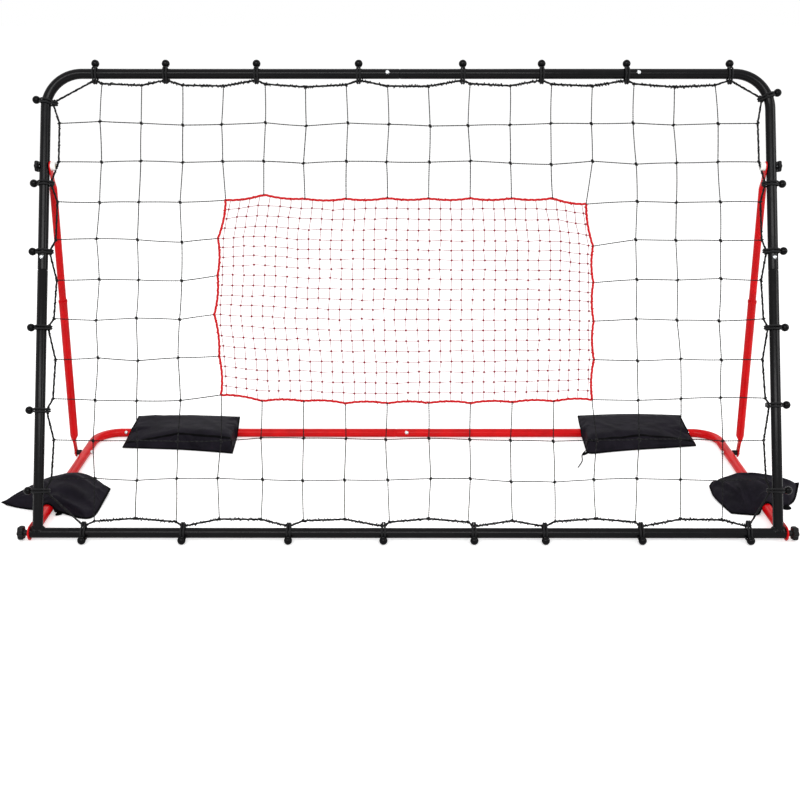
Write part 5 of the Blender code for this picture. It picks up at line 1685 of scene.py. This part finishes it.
def folded(grid, folds):
    """Ridges and hollows of cloth along lines, each (start, end, width, height) in shares."""
    steps = np.linalg.norm(np.diff(grid, axis=0), axis=2).mean(axis=1)
    rows = np.linalg.norm(np.diff(grid, axis=1), axis=2).mean(axis=0)
    x = np.concatenate([[0.0], np.cumsum(steps)])[:, None] + np.zeros((1, grid.shape[1]))
    y = np.concatenate([[0.0], np.cumsum(rows)])[None, :] + np.zeros((grid.shape[0], 1))
    normal = normals_of(grid)
    lift = np.zeros(x.shape)
    for start, end, width, height in folds:
        a = np.array([start[0] * x[-1, 0], start[1] * y[0, -1]])
        b = np.array([end[0] * x[-1, 0], end[1] * y[0, -1]])
        run = b - a
        share = ((x - a[0]) * run[0] + (y - a[1]) * run[1]) / (run @ run)
        near = np.clip(share, 0, 1)
        gap = np.hypot(x - a[0] - run[0] * near, y - a[1] - run[1] * near)
        lift += height * np.exp(-((gap / width) ** 2)) * (0.35 + 0.65 * np.sin(math.pi * near))
    return grid + normal * lift[:, :, None]


def crumpled(grid, height, seed):
    """Shallow, long creases: waves of several directions and lengths laid over each other."""
    waves = np.random.default_rng(seed)
    x, y = grid[:, :, 0], grid[:, :, 1]
    total = np.zeros(x.shape)
    for _ in range(14):
        angle = waves.normal(math.pi / 2, 0.7)
        length = waves.uniform(0.018, 0.06)
        phase = waves.uniform(0, math.tau, 2)
        wander = 1.1 * np.sin((x * math.sin(angle) - y * math.cos(angle)) / 0.07 * math.tau + phase[1])
        total += np.sin((x * math.cos(angle) + y * math.sin(angle)) / length * math.tau + phase[0] + wander)
    return grid + normals_of(grid) * (total / 14 * height)[:, :, None]


def pouch(top, under):
    """Vertices and faces of an upper cloth and one at given heights below it, with one edge."""
    columns, rows = top.shape[0] - 1, top.shape[1] - 1
    points = top.reshape(-1, 3).tolist()
    upper = np.arange((columns + 1) * (rows + 1)).reshape(columns + 1, rows + 1)
    lower = upper.copy()
    for i in range(1, columns):
        for j in range(1, rows):
            lower[i, j] = len(points)
            x, y, _ = top[i, j]
            points.append([x, y, under[i, j]])
    faces = []
    for i in range(columns):
        for j in range(rows):
            faces.append([upper[i, j], upper[i + 1, j], upper[i + 1, j + 1], upper[i, j + 1]])
            faces.append([lower[i, j], lower[i, j + 1], lower[i + 1, j + 1], lower[i + 1, j]])
    edge = [*upper[:, 0], *upper[-1, 1:], *upper[-2::-1, -1], *upper[0, -2:0:-1]]
    return np.array(points), faces, [int(n) for n in edge], upper


def blown_up(name, points, faces, held, pressure, slack):
    """The pouch's cloth under a little pressure. Its edge and underside are held still."""
    mesh = bpy.data.meshes.new(name)
    mesh.from_pydata(points.tolist(), [], [[int(n) for n in face] for face in faces])
    outward(mesh)
    cloth_object = bpy.data.objects.new(name, mesh)
    bpy.context.scene.collection.objects.link(cloth_object)
    pins = cloth_object.vertex_groups.new(name="held")
    pins.add([int(n) for n in held], 1.0, "REPLACE")
    cloth = cloth_object.modifiers.new("cloth", "CLOTH").settings
    cloth.vertex_group_mass = "held"
    cloth.quality = 6
    cloth.mass = 0.25
    cloth.tension_stiffness = 12.0
    cloth.compression_stiffness = 6.0
    cloth.shear_stiffness = 4.0
    cloth.bending_stiffness = 0.15
    cloth.use_pressure = True
    cloth.uniform_pressure_force = pressure
    cloth.shrink_min = -slack
    cloth.effector_weights.gravity = 0.0
    for step in range(1, 21):
        bpy.context.scene.frame_set(step)
    graph = bpy.context.evaluated_depsgraph_get()
    moved = np.array([v.co[:] for v in cloth_object.evaluated_get(graph).data.vertices])
    bpy.context.scene.frame_set(1)
    bpy.data.objects.remove(cloth_object, do_unlink=True)
    shift = moved - points
    length = np.linalg.norm(shift, axis=1)[:, None]
    return points + shift * np.minimum(1.0, SWELL_CAP / (length + 1e-9))


def groove_skin(start, end):
    """The cutter that leaves room for a tube, open to the ground."""
    across = (end - start).normalized().cross(Z).normalized()
    rings = []
    for point in (start, end):
        ring = [point + across * GROOVE_R - Z * 0.05]
        for k in range(17):
            angle = math.pi * k / 16
            ring.append(point + across * (GROOVE_R * math.cos(angle)) + Z * (GROOVE_R * math.sin(angle)))
        ring.append(point - across * GROOVE_R - Z * 0.05)
        rings.append([tuple(p) for p in ring])
    return skin(rings)


def hem_skin(loop, width, thickness=0.0034):
    """The flat seam allowance round a pouch, which runs out into points at its corners."""
    loop = np.asarray(loop)
    before = loop - np.roll(loop, 1, axis=0)
    after = np.roll(loop, -1, axis=0) - loop
    flat = []
    for edge in (before, after):
        side = np.stack([-edge[:, 1], edge[:, 0], np.zeros(len(loop))], axis=1)
        flat.append(side / (np.linalg.norm(side, axis=1)[:, None] + 1e-9))
    turn_out = flat[0] + flat[1]
    turn_out /= np.linalg.norm(turn_out, axis=1)[:, None] + 1e-9
    stretch = 1 / np.clip((turn_out * flat[0]).sum(axis=1), 0.5, 1.0)
    up = np.array([0, 0, thickness / 2])
    outer = loop + turn_out * 0.0004
    inner = loop - turn_out * (width * stretch)[:, None]
    for line in (outer, inner):
        line[:, 2] = np.maximum(loop[:, 2], thickness / 2 + 0.0002)
    rings = np.stack([inner + up, outer + up, outer - up, inner - up], axis=1)
    return skin(rings, closed=True)


def painted_shade_strip(first, second, lift, thickness=0.0012):
    """A thin dark band of painted shade, the shadow line under a fold, that lies on the cloth between two
    rows of its points.
    """
    across = second - first
    ahead = np.gradient(first, axis=0)
    normal = np.cross(ahead, across)
    normal /= np.linalg.norm(normal, axis=1)[:, None]
    normal *= np.sign((normal * lift).sum(axis=1))[:, None]
    low, high = normal * 0.0002, normal * thickness
    return skin(np.stack([first + low, second + low, second + high, first + high], axis=1))


print("groove for a tube of", TUBE_R * 2000, "mm")

# %% [markdown]
# Where the bags lie
# The rear bags are box-shaped and lie square on the rear bar, thinner towards the corners of the
# base. The front bags are slack half moons across the arms, and each arches over its tube. The
# numbers are places in the base's own measure, and the heights were read where the tubes show. A
# sewn loop of tape peeps out from under each front bag, and a scrap of it joins the cord to the
# rear right one.

# %% Bags
REAR_PROFILE = (
    (0.0, 0.0), (0.003, 0.55), (0.012, 0.90), (0.045, 0.99), (0.20, 1.0), (0.55, 1.0), (0.80, 1.0),
    (0.885, 0.95), (0.935, 0.80), (0.970, 0.52), (0.990, 0.24), (1.0, 0.0),
)
FRONT_PROFILE = (
    (0.0, 0.0), (0.02, 0.42), (0.07, 0.80), (0.17, 0.97), (0.34, 1.0), (0.55, 0.98), (0.72, 0.86),
    (0.86, 0.60), (0.95, 0.30), (1.0, 0.0),
)
BAR_HUMP = ((-0.034, 0.0030), (-0.0172, 0.0120), (-0.0095, 0.0245), (0.0, 0.0290), (0.034, 0.0310))


def over_bar(front, across, back):
    """An end of a rear bag: its hem lies on the ground and climbs over the rear bar."""
    points = [(x, BASE_DEPTH + shift, high) for x, (shift, high) in zip(across, BAR_HUMP)]
    return [front, *points, back]


# back, front, left and right: places along each edge of the hem. high_back and high_front: the
# filling's height at shares of the width. folds: (start, end, width, height) in shares of the cloth
REAR_LEFT = dict(
    back=((-0.8160, 0.7340, 0.034), (-0.67, 0.7360, 0.036), (-0.5060, 0.7260, 0.035)),
    front=((-0.8290, 0.5660, 0.0032), (-0.75, 0.5600, 0.003), (-0.656, 0.5520, 0.003), (-0.57, 0.5380, 0.003),
           (-0.5020, 0.5240, 0.0032)),
    left=over_bar(
        (-0.8290, 0.5660, 0.0032), (-0.8300, -0.8260, -0.8200, -0.8175, -0.8165), (-0.8160, 0.7340, 0.034),
    ),
    right=over_bar(
        (-0.5020, 0.5240, 0.0032), (-0.5050, -0.5030, -0.5020, -0.5012, -0.5040), (-0.5060, 0.7260, 0.035),
    ),
    high_back=((0, 0.039), (0.5, 0.041), (1, 0.040)),
    high_front=((0, 0.006), (0.14, 0.012), (0.32, 0.030), (0.5, 0.0470), (0.85, 0.0460), (1, 0.0440)),
    folds=(
        ((0.03, 0.80), (0.50, 0.82), 0.004, 0.0026), ((0.50, 0.82), (0.97, 0.81), 0.004, 0.0026),
        ((0.50, 0.84), (0.60, 0.97), 0.004, 0.0080), ((0.54, 0.84), (0.70, 0.97), 0.0035, -0.0080),
        ((0.60, 0.84), (0.80, 0.95), 0.006, 0.0040),
        ((0.48, 0.85), (0.36, 0.96), 0.004, -0.0070), ((0.45, 0.84), (0.22, 0.93), 0.0045, 0.0070),
        ((0.10, 0.91), (0.62, 0.93), 0.004, -0.0040), ((0.86, 0.84), (0.80, 0.96), 0.006, 0.0036),
        ((0.10, 0.30), (0.42, 0.66), 0.012, -0.0020), ((0.60, 0.20), (0.86, 0.64), 0.012, -0.0020),
    ),
)
REAR_RIGHT = dict(
    back=((0.5210, 0.7370, 0.035), (0.68, 0.7460, 0.037), (0.8340, 0.7410, 0.035)),
    front=((0.5190, 0.5340, 0.0032), (0.5360, 0.5250, 0.003), (0.60, 0.5400, 0.003), (0.67, 0.5535, 0.003),
           (0.76, 0.5670, 0.003), (0.8470, 0.5820, 0.0032)),
    left=over_bar(
        (0.5190, 0.5340, 0.0032), (0.5220, 0.5190, 0.5175, 0.5175, 0.5185), (0.5210, 0.7370, 0.035),
    ),
    right=over_bar(
        (0.8470, 0.5820, 0.0032), (0.8480, 0.8410, 0.8360, 0.8330, 0.8335), (0.8340, 0.7410, 0.035),
    ),
    high_back=((0, 0.040), (0.5, 0.041), (1, 0.039)),
    high_front=((0, 0.0360), (0.3, 0.0370), (0.5, 0.0380), (0.8, 0.020), (1, 0.006)),
    folds=(
        ((0.03, 0.81), (0.48, 0.80), 0.004, 0.0026), ((0.48, 0.80), (0.97, 0.81), 0.004, 0.0026),
        ((0.10, 0.84), (0.14, 0.96), 0.004, 0.0070), ((0.20, 0.84), (0.28, 0.95), 0.0035, -0.0070),
        ((0.34, 0.83), (0.42, 0.95), 0.004, 0.0075), ((0.46, 0.88), (0.92, 0.91), 0.004, 0.0070),
        ((0.44, 0.92), (0.90, 0.95), 0.003, -0.0040), ((0.60, 0.83), (0.72, 0.90), 0.006, 0.0034),
        ((0.12, 0.22), (0.34, 0.64), 0.012, -0.0020), ((0.58, 0.56), (0.90, 0.30), 0.012, -0.0020),
    ),
)
FRONT_LEFT = dict(
    back=((-1.0515, 0.1808, 0.0126), (-1.002, 0.230, 0.016), (-0.958, 0.276, 0.012), (-0.934, 0.293, 0.018),
          (-0.9174, 0.301, 0.0315), (-0.900, 0.307, 0.018), (-0.868, 0.312, 0.012), (-0.828, 0.297, 0.014),
          (-0.790, 0.266, 0.011)),
    front=((-1.052, 0.180, 0.0125), (-1.035, 0.178, 0.0098), (-1.013, 0.172, 0.0038),
           (-0.970, 0.158, 0.004), (-0.944, 0.145, 0.012),
           (-0.931, 0.135, 0.026), (-0.9174, 0.131, 0.0335), (-0.904, 0.132, 0.026), (-0.893, 0.136, 0.010),
           (-0.861, 0.126, 0.003), (-0.834, 0.112, 0.003), (-0.815, 0.108, 0.003)),
    left=((-1.052, 0.180, 0.0125), (-1.0518, 0.1804, 0.01255), (-1.0515, 0.1808, 0.0126)),
    right=((-0.815, 0.108, 0.003), (-0.803, 0.113, 0.003), (-0.795, 0.136, 0.003), (-0.792, 0.200, 0.007),
           (-0.790, 0.266, 0.011)),
    high_back=((0, 0.014), (0.12, 0.028), (0.28, 0.048), (0.40, 0.057), (0.53, 0.058), (0.61, 0.065),
               (0.69, 0.064), (0.76, 0.059), (0.82, 0.050), (0.90, 0.036), (1, 0.014)),
    high_front=((0, 0.014), (0.12, 0.033), (0.30, 0.045), (0.45, 0.052), (0.62, 0.055),
                (0.85, 0.047), (1, 0.030)),
    folds=(
        ((0.36, 0.78), (0.52, 0.70), 0.007, 0.0040), ((0.52, 0.70), (0.92, 0.76), 0.008, 0.0040),
        ((0.34, 0.93), (0.54, 0.83), 0.0035, -0.0100), ((0.54, 0.83), (0.92, 0.90), 0.0035, -0.0090),
        ((0.34, 0.24), (0.46, 0.62), 0.005, -0.0056), ((0.30, 0.28), (0.40, 0.56), 0.005, 0.0040),
        ((0.44, 0.16), (0.86, 0.30), 0.010, 0.0036), ((0.46, 0.30), (0.90, 0.42), 0.009, -0.0036),
        ((0.50, 0.46), (0.88, 0.56), 0.008, 0.0026), ((0.10, 0.60), (0.30, 0.56), 0.006, 0.0030),
    ),
)
FRONT_RIGHT = dict(
    back=((0.806, 0.278, 0.015), (0.816, 0.284, 0.024), (0.838, 0.290, 0.024), (0.880, 0.292, 0.017),
          (0.900, 0.291, 0.020), (0.9174, 0.290, 0.0315), (0.935, 0.289, 0.020), (0.962, 0.287, 0.016),
          (1.004, 0.283, 0.018),
          (1.041, 0.268, 0.029)),
    front=((0.828, 0.141, 0.003), (0.862, 0.134, 0.003), (0.896, 0.132, 0.004), (0.9055, 0.138, 0.024),
           (0.9174, 0.140, 0.0335), (0.931, 0.143, 0.026), (0.942, 0.153, 0.010), (0.966, 0.172, 0.003),
           (0.990, 0.187, 0.003)),
    left=((0.828, 0.141, 0.003), (0.818, 0.181, 0.004), (0.806, 0.232, 0.008), (0.806, 0.278, 0.015)),
    right=((0.990, 0.187, 0.003), (1.010, 0.208, 0.004), (1.026, 0.236, 0.009), (1.041, 0.268, 0.029)),
    high_back=((0, 0.022), (0.08, 0.044), (0.16, 0.053), (0.28, 0.066), (0.45, 0.068), (0.6, 0.066),
               (0.74, 0.059), (0.87, 0.047), (0.95, 0.041), (1, 0.030)),
    high_front=((0, 0.024), (0.15, 0.049), (0.35, 0.058), (0.52, 0.059), (0.70, 0.051),
                (0.88, 0.036), (1, 0.024)),
    folds=(
        ((0.14, 0.20), (0.20, 0.70), 0.0035, -0.0100), ((0.10, 0.24), (0.14, 0.62), 0.006, 0.0040),
        ((0.26, 0.50), (0.22, 0.88), 0.0035, -0.0100), ((0.31, 0.46), (0.29, 0.86), 0.006, 0.0040),
        ((0.16, 0.14), (0.80, 0.18), 0.006, 0.0036), ((0.22, 0.24), (0.72, 0.26), 0.004, -0.0030),
        ((0.50, 0.42), (0.66, 0.66), 0.005, 0.0040), ((0.54, 0.40), (0.72, 0.58), 0.004, -0.0046),
        ((0.44, 0.82), (0.60, 0.74), 0.004, -0.0050),
    ),
)


def bag_piece(name, spec, profile, end_round, groove, seed, crease=None):
    """One bag with its hem, and, where it has one, a band of painted shade along its crease line."""
    margin = HEM_WIDTH / BAG_MEASURE[0]
    inside = [(margin + share * (1 - 2 * margin), high) for share, high in profile]
    outline = np.array([(0.0, 0.0), *inside, (1.0, 0.0)])
    run = spaced(outline * BAG_MEASURE, POUCH_ROWS) / BAG_MEASURE
    row_places = 1 - run[::-1, 0]
    back_edge, front_edge = (spaced(spec[side], POUCH_COLUMNS, 0.5) for side in ("back", "front"))
    left_edge, right_edge = (at_shares(spec[side], row_places) for side in ("left", "right"))
    base = patch(back_edge, front_edge, left_edge, right_edge)
    v = row_places[None, :]
    ruled_share = np.linspace(0, 1, POUCH_COLUMNS + 1)
    share = ruled_share - 0.5 * np.sin(ruled_share * math.tau) / math.tau
    back = np.interp(share, *np.array(spec["high_back"]).T)[:, None]
    front = np.interp(share, *np.array(spec["high_front"]).T)[:, None]
    span = np.linalg.norm(back_edge[-1] - back_edge[0])
    near_end = np.minimum(share, 1 - share) * span
    rise = np.clip((near_end - HEM_WIDTH) / end_round, 0.0, 1.0)
    rounding = (1 - (1 - rise) ** ROUND_POWER) ** (1 / ROUND_POWER)
    height = front + (back - front) * v
    filled = np.minimum(1.0, run[::-1, 1])[None, :] * rounding[:, None]
    top = base.copy()
    top[:, :, 2] += np.maximum(height - base[:, :, 2], 0.0) * filled
    line_start, line_end = (np.array(p) for p in groove)
    along = (line_end - line_start) / np.linalg.norm(line_end - line_start)
    offset = np.linalg.norm(np.cross(top - line_start, along) * np.array([0, 0, 1]), axis=2)
    tube_top = line_start[2] + TUBE_R + TUBE_COVER
    cover = tube_top * np.exp(-((offset / COVER_REACH) ** 4))
    inner = (rounding[:, None] > 0.15) & (run[::-1, 1][None, :] > 0.1)
    top[:, :, 2] = np.where(inner, np.maximum(top[:, :, 2], cover), top[:, :, 2])
    top = crumpled(folded(top[:, ::-1], spec["folds"]), CRUMPLE, seed)
    edge_rows = base[:, ::-1]
    top[0], top[-1] = edge_rows[0], edge_rows[-1]
    top[:, 0], top[:, -1] = edge_rows[:, 0], edge_rows[:, -1]
    top += np.array([0.0, FOLD_Y, 0.0])
    depth = np.linalg.norm(edge_rows[:, -1] - edge_rows[:, 0], axis=1)[:, None]
    from_edge = np.minimum(near_end[:, None], np.minimum(v, 1 - v)[:, ::-1] * depth)
    under = np.maximum(0.0009, edge_rows[:, :, 2] - UNDERSIDE_SLOPE * from_edge)
    points, faces, edge, upper = pouch(top, under)
    held = set(edge) | set(range(upper.size, len(points)))
    points = blown_up(name, points, faces, held, 2.0, 0.006)
    loop = points[edge]
    rows = points[upper]
    mesh = bpy.data.meshes.new(name)
    mesh.from_pydata(points.tolist(), [], [[int(n) for n in face] for face in faces])
    outward(mesh)
    start, end = (Vector((p[0], FOLD_Y + p[1], p[2])) for p in groove)
    result = cut_away(mesh, [groove_skin(start, end)], finer=1)
    print(name, "mended" if result.validate() else "sound", "after the groove was cut")
    piece = add_piece(f"{name}_cloth", result, bag_cloth, "base", [name], 60)
    hem = [hem_skin(loop, HEM_WIDTH)]
    # The band at the crease row is a near-black strip of painted shade: it draws the shadow line under the
    # fold.
    if crease:
        hem.append(painted_shade_strip(rows[1:-1, crease], rows[1:-1, crease + 1], np.array([0.0, -1.0, 1.0])))
    add_piece(f"{name}_hem", skins_mesh("hem", hem), binding_and_painted_shade, "base", sharp=60)
    return piece


def cloth_tab(bag, middle, turn, wide, deep):
    """A sewn loop of binding tape that peeps out from under a bag."""
    middle = Vector((middle[0], FOLD_Y + middle[1], 0.0))
    ahead = Vector((math.cos(turn), math.sin(turn), 0))
    across = Vector((-math.sin(turn), math.cos(turn), 0))
    rings = []
    for share in np.linspace(-1, 1, 9):
        half = deep / 2 * math.sqrt(max(0.04, 1 - 0.75 * share ** 2))
        spot = middle + ahead * (share * wide / 2)
        high = 0.0058 - 0.0022 * share ** 2
        rings.append([
            spot - across * half + Z * 0.0006, spot + across * half + Z * 0.0006,
            spot + across * half * 0.8 + Z * high, spot - across * half * 0.8 + Z * high * 0.8,
        ])
    tab = skin([[tuple(p) for p in ring] for ring in rings])
    add_piece(f"{bag}_tab", skins_mesh("tab", [tab]), binding_and_painted_shade, "base", sharp=60)


cloth_tab("rear_bag_right", (0.5150, 0.5245), 0.82, 0.024, 0.006)
cloth_tab("front_bag_left", (-0.8915, 0.134), 0.5, 0.016, 0.010)
cloth_tab("front_bag_right", (0.981, 0.174), 0.3, 0.022, 0.020)
rear_line = ((-1.0, BASE_DEPTH, TUBE_R), (1.0, BASE_DEPTH, TUBE_R))
for name, spec, seed in (("rear_bag_left", REAR_LEFT, 3), ("rear_bag_right", REAR_RIGHT, 4)):
    # Row 32 of each rear bag gets the band of painted shade under its fold.
    bag = bag_piece(name, spec, REAR_PROFILE, 0.004, rear_line, seed, 32)
    print(name, len(bag.data.vertices), "points")
for side, name, spec, seed in ((-1, "front_bag_left", FRONT_LEFT, 5), (1, "front_bag_right", FRONT_RIGHT, 6)):
    arm_line = [(side * ARM_X, y, arm_height(y)) for y in (0.0, 0.45)]
    bag = bag_piece(name, spec, FRONT_PROFILE, 0.030, arm_line, seed)
    print(name, len(bag.data.vertices), "points")

# %% [markdown]
# Floor and light
# The object stands on a plain pale floor in a plain studio. A wide strip lamp above and in front
# draws one even stripe along the bars, a weaker one stands at the right and one behind, and the
# room is white. The camera, mirrors and glass see white, while the light itself stays at a plain
# level. The floor glows a little for the camera alone, so it is white round the object's shadow.

# %% Floor, world and lamps
FLOOR_HALF, FLOOR_DROP = 30.0, 0.0005
FLOOR_GLOW = 0.45
ROOM_LIGHT = 0.62
WHITE = (1.0, 1.0, 1.0, 1.0)
LAMP_TARGET = (0, 0, 0.4)


def floor_sheet(half):
    bottom = np.array([[-half, -half, 0], [half, -half, 0], [half, half, 0], [-half, half, 0]])
    mesh = bpy.data.meshes.new("floor")
    mesh.from_pydata(bottom, [], [(0, 1, 2, 3)])
    return mesh


floor_material, floor_shader = new_material("pale_matt_floor", Roughness=0.9)
floor_tone = blended(floor_material, grain(floor_material, 300.0, 2.0), linear("#f4f4f4"), linear("#f8f8f8"))
wire(floor_material, floor_tone.outputs["Color"], floor_shader, "Base Color")
seen_by_camera = node(floor_material, "ShaderNodeLightPath").outputs["Is Camera Ray"]
lifted = node(floor_material, "ShaderNodeMath", {0: seen_by_camera, 1: FLOOR_GLOW}, operation="MULTIPLY")
floor_shader.inputs["Emission Color"].default_value = WHITE
wire(floor_material, lifted.outputs["Value"], floor_shader, "Emission Strength")
floor = bpy.data.objects.new("floor", floor_sheet(FLOOR_HALF))
floor.data.materials.append(floor_material)
floor.location.z = -FLOOR_DROP
bpy.context.scene.collection.objects.link(floor)

world = bpy.data.worlds.new("studio")
world.use_nodes = True
world.node_tree.nodes.clear()
bpy.context.scene.world = world
rays = node(world, "ShaderNodeLightPath").outputs
seen = rays["Is Camera Ray"]
for kind in ("Is Glossy Ray", "Is Transmission Ray"):
    seen = node(world, "ShaderNodeMath", {0: seen, 1: rays[kind]}, operation="MAXIMUM").outputs["Value"]
soft, white = (
    node(world, "ShaderNodeBackground", {"Color": WHITE, "Strength": strength}).outputs["Background"]
    for strength in (ROOM_LIGHT, 1.0)
)
sky = node(world, "ShaderNodeMixShader", {0: seen, 1: soft, 2: white}).outputs["Shader"]
node(world, "ShaderNodeOutputWorld", {"Surface": sky})


def lamp(name, place, target, wide, high, power):
    data = bpy.data.lights.new(name, "AREA")
    data.shape = "RECTANGLE"
    data.size, data.size_y = wide, high
    data.energy = power
    made = bpy.data.objects.new(name, data)
    made.location = place
    made.rotation_euler = (Vector(target) - Vector(place)).to_track_quat("-Z", "Y").to_euler()
    bpy.context.scene.collection.objects.link(made)


lamp("key", (-0.4, -3.0, 2.7), LAMP_TARGET, 3.4, 0.8, 74.0)
lamp("side", (3.2, -1.0, 2.0), LAMP_TARGET, 1.2, 1.2, 26.0)
lamp("back", (-0.5, 3.0, 2.8), LAMP_TARGET, 2.0, 2.0, 30.0)
bpy.context.scene.view_settings.view_transform = "Standard"
